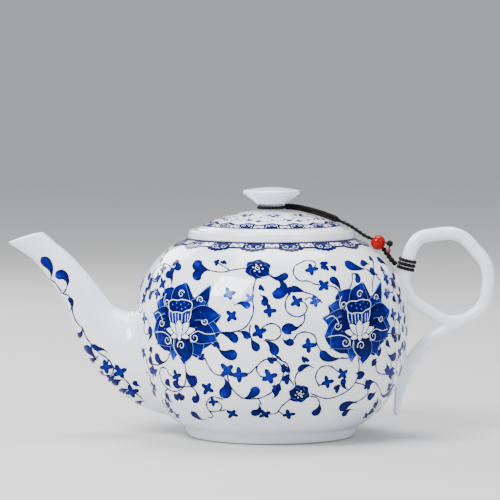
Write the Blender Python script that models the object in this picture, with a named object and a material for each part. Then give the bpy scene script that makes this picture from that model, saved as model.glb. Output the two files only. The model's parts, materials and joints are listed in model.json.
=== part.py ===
"""Blue-and-white porcelain teapot: a squat pot, swan-neck spout, pierced ring handle and tethered lid.

Every piece is modelled round the pot's own upright axis, with the foot on z = 0, the spout towards -X
and the handle towards +X. The last step slides the whole pot along X, so that the middle of its length
stands over the origin. All sizes are in metres.
"""

import math

import bpy
import bmesh
from mathutils import Matrix, Vector

# Pot body
BELLY_RADIUS = 0.0645
BELLY_HEIGHT = 0.052
FOOT_RADIUS = 0.0412
FOOT_TAPER = 0.0022
FOOT_HEIGHT = 0.0048
FOOT_WIDTH = 0.0042
FOOT_RECESS = 0.0030
LAND_RADIUS = 0.0390
MOUTH_INSET = 0.0040
SEAT_HEIGHT = 0.0926
MOUTH_LIP = 0.0032
WALL = 0.0032
FLOOR_HEIGHT = 0.0085
SHOULDER_FULLNESS = 0.0250
SHOULDER_REACH = 0.0122
SHOULDER_SLOPE = math.radians(18)
KEEL_FULLNESS = 0.0255
KEEL_REACH = 0.0147
KEEL_SLOPE = math.radians(27)

# Strainer holes behind the spout
STRAINER_HOLE = 0.0056
STRAINER_PITCH = 0.0078
STRAINER_DROP = 0.0120
STRAINER_RODS = 6

# Spout: its middle line, out from the belly's widest ring and up from it, and its half sizes
SPOUT_WALL = 0.0025
SPOUT_STATIONS = (
    # out, up, half height, half width
    (-0.0145, -0.0175, 0.0240, 0.0200),
    (-0.0045, -0.0142, 0.0215, 0.0178),
    (0.0037, -0.0105, 0.0182, 0.0158),
    (0.0107, -0.0055, 0.0150, 0.0136),
    (0.0175, 0.0018, 0.0113, 0.0110),
    (0.0237, 0.0126, 0.0089, 0.0089),
    (0.0289, 0.0201, 0.0081, 0.0081),
    (0.0351, 0.0278, 0.0073, 0.0073),
    (0.0429, 0.0353, 0.0065, 0.0065),
    (0.0512, 0.0413, 0.0067, 0.0066),
)
SPOUT_LIP_SLOPE = math.radians(17)

# Handle: corners of the ring's middle line, then the strut's, out and up from the belly's widest ring
HANDLE_WIDTH = 0.0062
HANDLE_DEPTH = 0.0084
HANDLE_BEND = 0.0075
HANDLE_RING = (
    (-0.0029, 0.0215),
    (0.0011, 0.0364),
    (0.0052, 0.0414),
    (0.0235, 0.0439),
    (0.0385, 0.0270),
    (0.0355, 0.0069),
    (0.0206, -0.0006),
    (0.0012, 0.0116),
)
HANDLE_STRUT = (
    (0.0235, 0.0012),
    (0.0095, -0.0074),
    (0.0029, -0.0146),
    (-0.0009, -0.0222),
    (-0.0033, -0.0285),
    (-0.0049, -0.0345),
    (-0.0056, -0.0415),
)
TAIL_START = 0.55
TAIL_TIP_SHARE = 0.55

# Lid
LID_OVERHANG = 0.0004
LID_RIM_DRAFT = 0.0010
LID_RIM_THICKNESS = 0.0039
LID_RIM_CHAMFER = 0.0004
DOME_INSET = 0.0048
DOME_FOOT_ROUND = 0.0022
DOME_FOOT_FULLNESS = 0.4
DOME_CROWN = 0.0750
DOME_RISE = 0.0092
LID_WALL = 0.0028
FLANGE_DEPTH = 0.0070
FLANGE_PLAY = 0.0016
FLANGE_DRAFT = 0.0016
FLANGE_WALL = 0.0026
VENT_HOLE = 0.0026
VENT_RADIUS = 0.0200

# Knob
KNOB_RADIUS = 0.0134
KNOB_NECK_RADIUS = 0.0050
KNOB_NECK_HEIGHT = 0.0020
KNOB_COLLAR_RADIUS = 0.0074
KNOB_COLLAR_HEIGHT = 0.0008
KNOB_FLARE = 0.0042
KNOB_THROAT = 0.45
KNOB_RIM_ROUND = 0.0010
KNOB_CROWN = 0.0013
KNOB_CROWN_FULLNESS = 0.65

# Cord between the knob and the handle: its points lie over the dome, past the rim and the shoulder
LOOP_THICKNESS = 0.0015
BRAID_THICKNESS = 0.0028
STRAND_THICKNESS = 0.0012
STRAND_SPACING = 0.0016
LOWER_CORD_THICKNESS = 0.0024
BRAID_ROUTE = (
    (0.0082, 0.0000, 0.1074),
    (0.0140, -0.0006, 0.1067),
    (0.0210, -0.0017, 0.1050),
    (0.0270, -0.0029, 0.1030),
    (0.0315, -0.0039, 0.1012),
)
STRAND_ROUTE = (
    (0.0318, -0.0040, 0.1010),
    (0.0362, -0.0052, 0.0990),
    (0.0403, -0.0064, 0.0964),
    (0.0434, -0.0073, 0.0943),
    (0.0464, -0.0078, 0.0929),
)
LOWER_CORD_ROUTE = (
    (0.0524, -0.0078, 0.0879),
    (0.0543, -0.0076, 0.0852),
    (0.0563, -0.0071, 0.0825),
    (0.0581, -0.0067, 0.0807),
)
BEAD_DIAMETER = 0.0070
BEAD_BORE = 0.0020
BEAD_OFFSET = (0.0004, 0.0, 0.0006)
TASSEL_ROUTE = (
    (0.0551, -0.0102, 0.0907),
    (0.0546, -0.0105, 0.0874),
    (0.0549, -0.0106, 0.0851),
)
BUTTON_KNOT_DIAMETER = 0.0030
SEED_BEAD_DIAMETER = 0.0022
TAIL_BEAD_DIAMETER = 0.0015

# Wrap round the handle
WRAP_TURNS = 3
WRAP_THICKNESS = 0.0016
WRAP_PITCH = 0.0019
WRAP_RISE = 0.0283

# Clearance between pieces that touch or are fired together
GAP = 0.0003

# How finely curves are divided
ROUND = 48
KNOB_SIDES = 32
LOOP_SIDES = 24
SPOUT_SIDES = 24
SPOUT_STEPS = 2
WRAP_SIDES = 20
BEAD_SIDES = 20
SMALL_BEAD_SIDES = 12
ROD_SIDES = 12
HANDLE_SIDES = 12
HANDLE_SQUARENESS = 2.6
HANDLE_BEND_STEPS = 3
CORD_SIDES = 8
BELLY_STEPS = 10
DOME_STEPS = 7
CROWN_STEPS = 5
FOOT_ROUND_STEPS = 3
BRIM_STEPS = 4
BEAD_STEPS = 8
SHARP_EDGE = math.radians(35)

PORCELAIN = ("porcelain", (0.88, 0.92, 0.97), 0.12)
CORD = ("black cord", (0.012, 0.009, 0.010), 0.65)
RED_BEAD = ("red bead", (0.62, 0.010, 0.012), 0.08)
SEED_RED = ("crimson seed bead", (0.25, 0.006, 0.022), 0.15)


def clear_scene():
    """Empties the startup scene."""
    for obj in list(bpy.data.objects):
        bpy.data.objects.remove(obj, do_unlink=True)


def finish_material(finish):
    """The material of a (name, colour, roughness) finish, made once."""
    name, colour, roughness = finish
    made = bpy.data.materials.get(name) or bpy.data.materials.new(name)
    made.use_nodes = True
    shader = made.node_tree.nodes["Principled BSDF"]
    shader.inputs["Base Color"].default_value = (*colour, 1.0)
    shader.inputs["Roughness"].default_value = roughness
    return made


# ---------------------------------------------------------------- outlines


def bezier(start, start_handle, end_handle, end, count):
    """Points along a cubic curve, both ends included."""
    points = []
    for step in range(count + 1):
        t = step / count
        weights = ((1 - t) ** 3, 3 * t * (1 - t) ** 2, 3 * t * t * (1 - t), t**3)
        corners = (start, start_handle, end_handle, end)
        points.append(tuple(sum(w * c[i] for w, c in zip(weights, corners)) for i in (0, 1)))
    return points


def arc(centre, radius, start_angle, end_angle, count):
    """Points along a circle's arc, both ends included."""
    angles = [start_angle + (end_angle - start_angle) * i / count for i in range(count + 1)]
    return [(centre[0] + radius * math.cos(a), centre[1] + radius * math.sin(a)) for a in angles]


def parallel(points, distance):
    """The outline moved sideways, to the left of its direction of travel."""
    moved = []
    for i, point in enumerate(points):
        before = Vector(points[max(i - 1, 0)])
        after = Vector(points[min(i + 1, len(points) - 1)])
        way = (after - before).normalized()
        moved.append((point[0] - way.y * distance, point[1] + way.x * distance))
    return moved


def belly_outline():
    """The pot's outer face from the top of the foot to the mouth's land, as (radius, height)."""
    widest = (BELLY_RADIUS, BELLY_HEIGHT)
    keel = bezier(
        (FOOT_RADIUS, FOOT_HEIGHT),
        (FOOT_RADIUS + KEEL_REACH * math.cos(KEEL_SLOPE), FOOT_HEIGHT + KEEL_REACH * math.sin(KEEL_SLOPE)),
        (BELLY_RADIUS, BELLY_HEIGHT - KEEL_FULLNESS),
        widest,
        BELLY_STEPS,
    )
    shoulder = bezier(
        widest,
        (BELLY_RADIUS, BELLY_HEIGHT + SHOULDER_FULLNESS),
        (
            LAND_RADIUS + SHOULDER_REACH * math.cos(SHOULDER_SLOPE),
            SEAT_HEIGHT - SHOULDER_REACH * math.sin(SHOULDER_SLOPE),
        ),
        (LAND_RADIUS, SEAT_HEIGHT),
        BELLY_STEPS,
    )
    return keel + shoulder[1:]


def mouth_radius():
    """The radius of the pot's opening."""
    return LAND_RADIUS - MOUTH_INSET


def beside_belly(points):
    """The points of a path measured out and up from the belly's widest ring, about the pot's axis."""
    return [(BELLY_RADIUS + out, BELLY_HEIGHT + up) for out, up in points]


def body_outline():
    """The whole wall of the pot from the middle of its underside round to the middle of its floor."""
    foot_bottom = FOOT_RADIUS - FOOT_TAPER
    underside = [
        (0.0, FOOT_RECESS),
        (foot_bottom - FOOT_WIDTH - FOOT_RECESS, FOOT_RECESS),
        (foot_bottom - FOOT_WIDTH, 0.0),
        (foot_bottom, 0.0),
    ]
    lip = SEAT_HEIGHT - MOUTH_LIP
    wall = reversed(parallel(belly_outline(), WALL))
    inside = [p for p in wall if FLOOR_HEIGHT < p[1] < lip and p[0] > mouth_radius()]
    mouth = [(mouth_radius(), SEAT_HEIGHT), (mouth_radius(), lip)]
    floor = [(inside[-1][0] - WALL, FLOOR_HEIGHT), (0.0, FLOOR_HEIGHT)]
    return underside + belly_outline() + mouth + inside + floor


def rounded_path(corners, radius, closed, steps):
    """The corners' outline with each bend turned into an arc-like curve, as 2-D vectors."""
    points = []
    count = len(corners)
    for i, corner in enumerate(corners):
        here = Vector(corner)
        if not closed and i in (0, count - 1):
            points.append(here)
            continue
        before = Vector(corners[i - 1])
        after = Vector(corners[(i + 1) % count])
        reach = min(radius, (before - here).length * 0.45, (after - here).length * 0.45)
        start = here + (before - here).normalized() * reach
        end = here + (after - here).normalized() * reach
        for step in range(steps + 1):
            t = step / steps
            points.append(start * (1 - t) ** 2 + here * 2 * t * (1 - t) + end * t * t)
    return points


def smooth_spans(points, counts):
    """One smooth curve through the given points, with `counts` steps from each point to the next."""
    points = [Vector(p) for p in points]
    padded = [points[0] * 2 - points[1]] + points + [points[-1] * 2 - points[-2]]
    route = []
    for a, b, c, d, count in zip(padded, padded[1:], padded[2:], padded[3:], counts):
        for step in range(count):
            t = step / count
            square, cube = 2 * a - 5 * b + 4 * c - d, 3 * b - a - 3 * c + d
            route.append(0.5 * (2 * b + (c - a) * t + square * t**2 + cube * t**3))
    return route + [points[-1]]


def smooth_route(points, spacing):
    """Points about `spacing` apart on one smooth curve through the given points."""
    spans = [(Vector(b) - Vector(a)).length for a, b in zip(points, points[1:])]
    return smooth_spans(points, [max(1, round(span / spacing)) for span in spans])


# ---------------------------------------------------------------- solids


def solid(name, rings, finish, closed=False, caps=(True, True)):
    """One object from rings of points. Each ring is a list of vectors, or a single one for a pole."""
    mesh = bmesh.new()
    rows = [[mesh.verts.new(p) for p in ring] for ring in rings]
    pairs = list(zip(rows, rows[1:]))
    if closed:
        pairs.append((rows[-1], rows[0]))
    for low, high in pairs:
        for i in range(max(len(low), len(high))):
            near = [low[i % len(low)], low[(i + 1) % len(low)]]
            far = [high[(i + 1) % len(high)], high[i % len(high)]]
            mesh.faces.new(list(dict.fromkeys(near + far)))
    if not closed:
        for row, wanted in zip((rows[0], rows[-1]), caps):
            if wanted and len(row) > 2:
                mesh.faces.new(row)
    bmesh.ops.recalc_face_normals(mesh, faces=mesh.faces)
    data = bpy.data.meshes.new(name)
    mesh.to_mesh(data)
    mesh.free()
    data.shade_smooth()
    data.set_sharp_from_angle(angle=SHARP_EDGE)
    obj = bpy.data.objects.new(name, data)
    bpy.context.scene.collection.objects.link(obj)
    if finish:
        data.materials.append(finish_material(finish))
    return obj


def turned(name, outline, finish, sides=ROUND, closed=False):
    """A solid of revolution about the pot's axis. A point on the axis becomes a pole."""
    rings = []
    for radius, height in outline:
        if radius < 1e-7:
            rings.append([Vector((0.0, 0.0, height))])
            continue
        angles = [2 * math.pi * i / sides for i in range(sides)]
        rings.append([Vector((radius * math.cos(a), radius * math.sin(a), height)) for a in angles])
    return solid(name, rings, finish, closed)


def squircle(angle):
    """A point of the handle's rounded-square section, for half sizes of one."""
    c, s = math.cos(angle), math.sin(angle)
    power = 2 / HANDLE_SQUARENESS
    return math.copysign(abs(c) ** power, c), math.copysign(abs(s) ** power, s)


def swept_ring(centre, way, half_width, half_depth):
    """One cross-section of a bar in the upright plane: `way` is its direction, as (x, z)."""
    across = Vector((-way.y, way.x))
    ring = []
    for i in range(HANDLE_SIDES):
        u, v = squircle(2 * math.pi * (i + 0.5) / HANDLE_SIDES)
        point = centre + across * (half_width * u)
        ring.append(Vector((point.x, half_depth * v, point.y)))
    return ring


def bar(name, path, half_width, half_depth, finish, closed, taper=None):
    """A bar of rounded-square section along a path in the upright plane."""
    rings = []
    for i, point in enumerate(path):
        if closed:
            way = (path[(i + 1) % len(path)] - path[i - 1]).normalized()
        else:
            way = (path[min(i + 1, len(path) - 1)] - path[max(i - 1, 0)]).normalized()
        share = taper(i / (len(path) - 1)) if taper else 1.0
        rings.append(swept_ring(point, way, half_width * share, half_depth * share))
    return solid(name, rings, finish, closed)


def cord_tube(name, route, thickness, finish):
    """A round cord along a smooth curve through the route's points."""
    data = bpy.data.curves.new(name, "CURVE")
    data.dimensions = "3D"
    data.bevel_depth = thickness / 2
    data.bevel_resolution = 2
    data.use_fill_caps = True
    points = smooth_route(route, thickness * 2.0)
    spline = data.splines.new("POLY")
    spline.points.add(len(points) - 1)
    for target, point in zip(spline.points, points):
        target.co = (*point, 1.0)
    data.materials.append(finish_material(finish))
    obj = bpy.data.objects.new(name, data)
    bpy.context.scene.collection.objects.link(obj)
    return obj


def bead(name, centre, diameter, bore, way, finish, sides):
    """A drilled bead with its hole along `way`."""
    lean = math.asin(bore / diameter)
    outline = arc((0.0, 0.0), diameter / 2, lean - math.pi / 2, math.pi / 2 - lean, BEAD_STEPS)
    obj = turned(name, outline, finish, sides, closed=True)
    turn = Vector((0, 0, 1)).rotation_difference(Vector(way)).to_matrix().to_4x4()
    obj.data.transform(Matrix.Translation(Vector(centre)) @ turn)
    return obj


def cutter(obj):
    """Marks a helper that only shapes other pieces."""
    obj.hide_render = True
    obj.display_type = "WIRE"
    return obj


def boolean(obj, other, operation="DIFFERENCE"):
    """Cuts one object with another, or joins it on."""
    modifier = obj.modifiers.new(f"{operation.title()} {other.name}", "BOOLEAN")
    modifier.operation = operation
    modifier.solver = "EXACT"
    modifier.object = other


def drill(name, diameter, length, centres, turn):
    """A cutter of straight rods, one at each centre, turned from upright by a matrix."""
    rods = bmesh.new()
    for centre in centres:
        bmesh.ops.create_cone(
            rods,
            cap_ends=True,
            segments=ROD_SIDES,
            radius1=diameter / 2,
            radius2=diameter / 2,
            depth=length,
            matrix=Matrix.Translation(centre) @ turn,
        )
    data = bpy.data.meshes.new(name)
    rods.to_mesh(data)
    rods.free()
    obj = bpy.data.objects.new(name, data)
    bpy.context.scene.collection.objects.link(obj)
    return cutter(obj)


# ---------------------------------------------------------------- pot


def pot_blank():
    """The pot's outer shape as a plain lump, a gap larger all round: what is luted on is cut with it."""
    outline = parallel(belly_outline(), -GAP)
    return cutter(turned("pot_blank", [(0.0, outline[0][1])] + outline + [(0.0, outline[-1][1])], None))


def make_pot_body():
    """The hollow pot, with a ring of strainer holes round a middle one behind the spout."""
    body = turned("pot_body", body_outline(), PORCELAIN)
    middle = Vector((WALL - BELLY_RADIUS, 0.0, BELLY_HEIGHT - STRAINER_DROP))
    centres = [middle]
    for i in range(STRAINER_RODS):
        angle = 2 * math.pi * (i + 0.5) / STRAINER_RODS
        centres.append(middle + Vector((0.0, math.cos(angle), math.sin(angle))) * STRAINER_PITCH)
    rods = drill("strainer_rods", STRAINER_HOLE, WALL * 5, centres, Matrix.Rotation(math.pi / 2, 4, "Y"))
    boolean(body, rods)
    return [body, rods]


def spout_rings(shrink):
    """The spout's skin from root to lip, `shrink` inside its outer face."""
    stations = [(-BELLY_RADIUS - out, BELLY_HEIGHT + up, *halves) for out, up, *halves in SPOUT_STATIONS]
    samples = smooth_spans(stations, [SPOUT_STEPS] * len(stations))
    del samples[-2]  # the slanting lip needs the room
    lip_line = Vector((math.cos(SPOUT_LIP_SLOPE), math.sin(SPOUT_LIP_SLOPE)))
    rings = []
    for i, (x, z, half_height, half_width) in enumerate(samples):
        ahead = Vector(samples[min(i + 1, len(samples) - 1)][:2])
        behind = Vector(samples[max(i - 1, 0)][:2])
        way = (ahead - behind).normalized()
        ring = []
        for k in range(SPOUT_SIDES):
            angle = 2 * math.pi * k / SPOUT_SIDES
            point = Vector((way.y, -way.x)) * ((half_height - shrink) * math.cos(angle))
            if i == len(samples) - 1:
                point -= way * (point.cross(lip_line) / way.cross(lip_line))
            ring.append(Vector((x + point.x, (half_width - shrink) * math.sin(angle), z + point.y)))
        rings.append(ring)
    return rings


def make_spout(blank):
    """The hollow spout, cut to sit a gap off the belly."""
    rings = spout_rings(0.0) + list(reversed(spout_rings(SPOUT_WALL)))
    spout = solid("spout", rings, PORCELAIN, closed=True)
    boolean(spout, blank)
    return [spout]


def tail_taper(t):
    """The strut's scale along its length: full at first, then narrowing to the tail's tip."""
    return 1.0 - (1.0 - TAIL_TIP_SHARE) * max(0.0, t - TAIL_START) / (1 - TAIL_START)


def make_handle(blank):
    """The ring and its strut as one piece, cut to sit a gap off the belly."""
    sizes = (HANDLE_WIDTH / 2, HANDLE_DEPTH / 2)
    ring_path = rounded_path(beside_belly(HANDLE_RING), HANDLE_BEND, True, HANDLE_BEND_STEPS)
    strut_path = rounded_path(beside_belly(HANDLE_STRUT), HANDLE_BEND, False, HANDLE_BEND_STEPS - 1)
    ring = bar("handle", ring_path, *sizes, PORCELAIN, True)
    strut = cutter(bar("handle_strut_shape", strut_path, *sizes, None, False, tail_taper))
    boolean(ring, strut, "UNION")
    boolean(ring, blank)
    return [ring, strut]


# ---------------------------------------------------------------- lid


def lid_levels():
    """Heights that the lid's pieces share: underside of the rim, top of the rim, crown of the dome."""
    rim_bottom = SEAT_HEIGHT + GAP
    rim_top = rim_bottom + LID_RIM_THICKNESS
    return rim_bottom, rim_top, rim_top + DOME_RISE


def dome_foot_radius():
    """Where the dome meets the rim's ledge."""
    return LAND_RADIUS + LID_OVERHANG - DOME_INSET


def dome_cap(shrink):
    """The dome's face from its crown to its foot round, `shrink` inside its outer face."""
    crown = lid_levels()[2]
    reach = math.asin((dome_foot_radius() - DOME_FOOT_ROUND) / DOME_CROWN)
    centre = (0.0, crown - DOME_CROWN)
    return arc(centre, DOME_CROWN - shrink, math.pi / 2, math.pi / 2 - reach, DOME_STEPS)


def lid_outline():
    """The lid's whole wall: dome, rim, then the flange that hangs in the mouth, and the hollow."""
    rim_bottom, rim_top, _ = lid_levels()
    cap = dome_cap(0.0)
    edge, foot_radius = cap[-1], dome_foot_radius()
    lean = DOME_FOOT_ROUND * DOME_FOOT_FULLNESS
    foot = bezier(
        edge,
        (edge[0] + DOME_FOOT_ROUND * (1 - DOME_FOOT_FULLNESS), edge[1] - lean),
        (foot_radius, rim_top + lean),
        (foot_radius, rim_top),
        FOOT_ROUND_STEPS,
    )
    flange_top = mouth_radius() - FLANGE_PLAY
    flange_bottom = flange_top - FLANGE_DRAFT
    flange_inside = flange_bottom - FLANGE_WALL
    hollow = [p for p in reversed(dome_cap(LID_WALL)) if p[0] < flange_inside - LID_RIM_DRAFT]
    rim_radius = LAND_RADIUS + LID_OVERHANG
    rim = [
        (rim_radius - LID_RIM_DRAFT - LID_RIM_CHAMFER, rim_top),
        (rim_radius - LID_RIM_DRAFT, rim_top - LID_RIM_CHAMFER),
        (rim_radius, rim_bottom),
    ]
    flange = [
        (flange_top, rim_bottom),
        (flange_bottom, rim_bottom - FLANGE_DEPTH),
        (flange_inside, rim_bottom - FLANGE_DEPTH),
        (flange_inside, rim_bottom),
    ]
    return cap + foot[1:] + rim + flange + hollow


def make_lid():
    """The lid with its steam hole towards the back."""
    lid = turned("lid", lid_outline(), PORCELAIN)
    crown = lid_levels()[2]
    rod = drill("vent_rod", VENT_HOLE, DOME_RISE * 3, [(0.0, VENT_RADIUS, crown)], Matrix.Identity(4))
    boolean(lid, rod)
    return [lid, rod]


def make_knob():
    """A flared knob on a narrow neck, standing on the lid's crown."""
    crown = lid_levels()[2]
    seat = crown + GAP
    neck_top = seat + KNOB_NECK_HEIGHT
    collar = neck_top + KNOB_COLLAR_HEIGHT
    brim = collar + KNOB_FLARE
    round_centre = (KNOB_RADIUS - KNOB_RIM_ROUND, brim + KNOB_RIM_ROUND)
    throat = KNOB_COLLAR_RADIUS + (KNOB_RADIUS - KNOB_COLLAR_RADIUS) * KNOB_THROAT
    outline = [
        (0.0, seat),
        (KNOB_NECK_RADIUS, seat),
        (KNOB_NECK_RADIUS, neck_top),
        (KNOB_COLLAR_RADIUS, collar),
        (throat, collar + KNOB_FLARE * KNOB_THROAT),
    ]
    outline += arc(round_centre, KNOB_RIM_ROUND, -math.pi / 4, math.pi / 2, BRIM_STEPS)
    edge, top = outline[-1], outline[-1][1] + KNOB_CROWN
    rising = (edge[0] * KNOB_CROWN_FULLNESS, edge[1] + KNOB_CROWN * KNOB_CROWN_FULLNESS)
    outline += bezier(edge, rising, (edge[0] * (1 - KNOB_CROWN_FULLNESS), top), (0.0, top), CROWN_STEPS)[1:]
    return [turned("lid_knob", outline, PORCELAIN, KNOB_SIDES)]


# ---------------------------------------------------------------- cord


def make_knob_loop():
    """The cord's ring round the knob's neck."""
    middle = lid_levels()[2] + GAP + LOOP_THICKNESS / 2
    centre = (KNOB_NECK_RADIUS + GAP + LOOP_THICKNESS / 2, middle)
    section = arc(centre, LOOP_THICKNESS / 2, 0.0, 2 * math.pi, CORD_SIDES)[:-1]
    return turned("knob_loop", section, CORD, LOOP_SIDES, closed=True)


def make_strands():
    """Two cords side by side from the braid to the bead."""
    strands = []
    for name, side in (("cord_strand_front", -0.5), ("cord_strand_back", 0.5)):
        aside = Vector((0.0, side * STRAND_SPACING, 0.0))
        route = [Vector(p) + aside for p in STRAND_ROUTE]
        strands.append(cord_tube(name, route, STRAND_THICKNESS, CORD))
    return strands


def make_tassel():
    """The tied end beside the bead: a button knot, a crimson seed bead and a small dark end bead."""
    kinds = (
        ("button_knot", BUTTON_KNOT_DIAMETER, CORD),
        ("seed_bead", SEED_BEAD_DIAMETER, SEED_RED),
        ("tail_bead", TAIL_BEAD_DIAMETER, CORD),
    )
    upright = (0, 0, 1)
    return [
        bead(name, centre, diameter, diameter * BEAD_BORE / BEAD_DIAMETER, upright, finish, SMALL_BEAD_SIDES)
        for (name, diameter, finish), centre in zip(kinds, TASSEL_ROUTE)
    ]


def make_tether():
    """Everything between the knob and the wrap: it swings with the lid."""
    entry, leaving = Vector(STRAND_ROUTE[-1]), Vector(LOWER_CORD_ROUTE[0])
    way = leaving - entry
    centre = (entry + leaving) / 2 + Vector(BEAD_OFFSET)
    pieces = [
        make_knob_loop(),
        cord_tube("snake_knot_braid", BRAID_ROUTE, BRAID_THICKNESS, CORD),
        bead("red_bead", centre, BEAD_DIAMETER, BEAD_BORE, way, RED_BEAD, BEAD_SIDES),
        cord_tube("lower_cord", LOWER_CORD_ROUTE, LOWER_CORD_THICKNESS, CORD),
    ]
    return pieces + make_strands() + make_tassel()


def post_at(rise):
    """The handle post's middle line at a rise above the belly's widest ring, and its direction, as (x, z)."""
    foot, top = (Vector(corner) for corner in beside_belly(HANDLE_RING[:2]))
    share = (BELLY_HEIGHT + rise - foot.y) / (top.y - foot.y)
    return foot.lerp(top, share), (top - foot).normalized()


def hinge_point():
    """Where the cord bends when the lid is lifted: the side of the post, at the top of the wrap."""
    middle, _ = post_at(WRAP_RISE + WRAP_PITCH)
    return middle.x - HANDLE_WIDTH / 2, middle.y


def make_wrap():
    """Turns of cord round the handle's post, each a closed ring square to the post."""
    half_width = HANDLE_WIDTH / 2 + GAP + WRAP_THICKNESS / 2
    half_depth = HANDLE_DEPTH / 2 + GAP + WRAP_THICKNESS / 2
    middle, along = post_at(WRAP_RISE)
    across = Vector((along.y, -along.x))
    pieces = []
    for turn in range(WRAP_TURNS):
        centre = middle + along * ((turn - (WRAP_TURNS - 1) / 2) * WRAP_PITCH)
        rings = []
        for i in range(WRAP_SIDES):
            u, v = squircle(2 * math.pi * i / WRAP_SIDES)
            outward = Vector((u * half_depth, v * half_width)).normalized()
            ring = []
            for k in range(CORD_SIDES):
                spin = 2 * math.pi * k / CORD_SIDES
                out = WRAP_THICKNESS / 2 * math.cos(spin)
                lift = WRAP_THICKNESS / 2 * math.sin(spin)
                flat = centre + across * (u * half_width + outward.x * out) + along * lift
                ring.append(Vector((flat.x, v * half_depth + outward.y * out, flat.y)))
            rings.append(ring)
        pieces.append(solid(f"handle_wrap_turn_{turn + 1}", rings, CORD, closed=True))
    return pieces


# ---------------------------------------------------------------- assembly


def empty(name, place, parent=None):
    """An empty at a place in the pot's frame."""
    made = bpy.data.objects.new(name, None)
    bpy.context.scene.collection.objects.link(made)
    made.parent = parent
    made.location = Vector(place) - (parent.matrix_world.translation if parent else Vector())
    bpy.context.view_layer.update()
    return made


def hang(pieces, parent):
    """Parents pieces to an empty, with the empty's place as their own origin."""
    origin = parent.matrix_world.translation
    for piece in pieces:
        piece.data.transform(Matrix.Translation(-origin))
        piece.parent = parent


def centre_length(root, pieces):
    """Slides the pot along X until the middle of its length is over the origin."""
    graph = bpy.context.evaluated_depsgraph_get()
    across = []
    for piece in pieces:
        shape = piece.evaluated_get(graph)
        across += [(piece.matrix_world @ Vector(corner)).x for corner in shape.bound_box]
    root.location.x = -(min(across) + max(across)) / 2
    bpy.context.view_layer.update()


def main():
    """Builds the pot, hangs each moving group on its empty and centres the whole."""
    clear_scene()
    root = empty("pot_frame", (0.0, 0.0, 0.0))
    hinge_x, hinge_z = hinge_point()
    cord_swing = empty("cord_swing_axis", (hinge_x, 0.0, hinge_z), root)
    lid_turn = empty("lid_turn_axis", (0.0, 0.0, SEAT_HEIGHT), cord_swing)
    blank = pot_blank()
    spout = make_spout(blank)
    handle = make_handle(blank)
    hang([blank] + make_pot_body() + spout + handle + make_wrap(), root)
    hang(make_tether(), cord_swing)
    hang(make_lid() + make_knob(), lid_turn)
    bpy.context.view_layer.update()
    centre_length(root, [spout[0], handle[0]])


main()
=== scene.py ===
"""Blue-and-white porcelain teapot: glazed bodies, painted decoration, corded lid and a plain studio.

Sizes are in metres. Painted marks are laid out in millimetres on the surface they decorate.
"""

import json
import logging
import math
from collections.abc import Callable, Sequence
from dataclasses import dataclass, field
from enum import Enum
from functools import partial
from typing import Optional, Union

import bmesh
import bpy
import numpy as np
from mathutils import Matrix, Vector
from mathutils.bvhtree import BVHTree

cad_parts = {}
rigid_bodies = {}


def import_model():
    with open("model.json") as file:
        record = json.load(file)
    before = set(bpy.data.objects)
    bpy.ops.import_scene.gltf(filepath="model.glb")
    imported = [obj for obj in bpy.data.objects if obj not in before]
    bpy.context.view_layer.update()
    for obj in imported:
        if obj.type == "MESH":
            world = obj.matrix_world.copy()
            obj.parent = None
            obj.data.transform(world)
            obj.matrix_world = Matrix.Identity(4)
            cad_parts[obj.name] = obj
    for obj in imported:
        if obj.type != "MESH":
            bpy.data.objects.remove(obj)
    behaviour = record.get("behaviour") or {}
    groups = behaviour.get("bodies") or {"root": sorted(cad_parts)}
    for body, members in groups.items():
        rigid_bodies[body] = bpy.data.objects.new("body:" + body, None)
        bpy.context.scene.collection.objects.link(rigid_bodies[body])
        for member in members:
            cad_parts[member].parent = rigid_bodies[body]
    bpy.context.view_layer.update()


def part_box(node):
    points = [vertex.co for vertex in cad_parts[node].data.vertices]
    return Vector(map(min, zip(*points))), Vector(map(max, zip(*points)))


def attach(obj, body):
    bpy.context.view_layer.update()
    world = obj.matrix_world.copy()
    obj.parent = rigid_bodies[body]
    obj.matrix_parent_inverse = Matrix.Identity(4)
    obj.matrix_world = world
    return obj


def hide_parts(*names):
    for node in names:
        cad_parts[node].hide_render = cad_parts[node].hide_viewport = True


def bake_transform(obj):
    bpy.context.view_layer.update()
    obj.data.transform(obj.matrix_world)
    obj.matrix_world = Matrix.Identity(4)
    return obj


LOG = logging.getLogger("teapot")
MM = 0.001
# Where the viewer stands: before the pot's axis, above the table and across from the axis.
EYE_DISTANCE = 1.45
EYE_HEIGHT = 0.182
EYE_ACROSS = -0.010
Array = np.ndarray
Point = Sequence[float]
Points = Sequence[Point]
Obj = bpy.types.Object
Material = bpy.types.Material
Node = bpy.types.Node
Socket = bpy.types.NodeSocket
Tree = bpy.types.NodeTree
GLAZE_SOCKETS = (("Normal", "Vector"), ("Gloss", "Float"), ("Mottle", "Float"))


class Part(Enum):
    """Bodies of the mechanism that the pieces ride on."""

    POT = "pot"
    TETHER = "tether"
    LID = "lid"


class Slot(Enum):
    """Material slots of the record."""

    PORCELAIN = "porcelain"
    CORD = "cord"
    RED_BEAD = "red_bead"
    SEED_BEAD = "seed_bead"


class Ink(Enum):
    """What a painted mark is made of, back to front."""

    WASH = "wash"
    LINE = "line"
    RESERVE = "reserve"


# ---------------------------------------------------------------- curves


def cubic(start: Point, start_handle: Point, end_handle: Point, end: Point, count: int = 24) -> list:
    """Points along a cubic curve.

    Args:
        start, start_handle, end_handle, end: the curve's four control points, as pairs.
        count: how many spans the curve is cut into.

    Returns:
        A list of count + 1 pairs.
    """
    corners = np.array([start, start_handle, end_handle, end], float)
    t = np.linspace(0, 1, count + 1)[:, None]
    weights = np.hstack([(1 - t) ** 3, 3 * t * (1 - t) ** 2, 3 * t * t * (1 - t), t**3])
    return [tuple(p) for p in weights @ corners]


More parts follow.
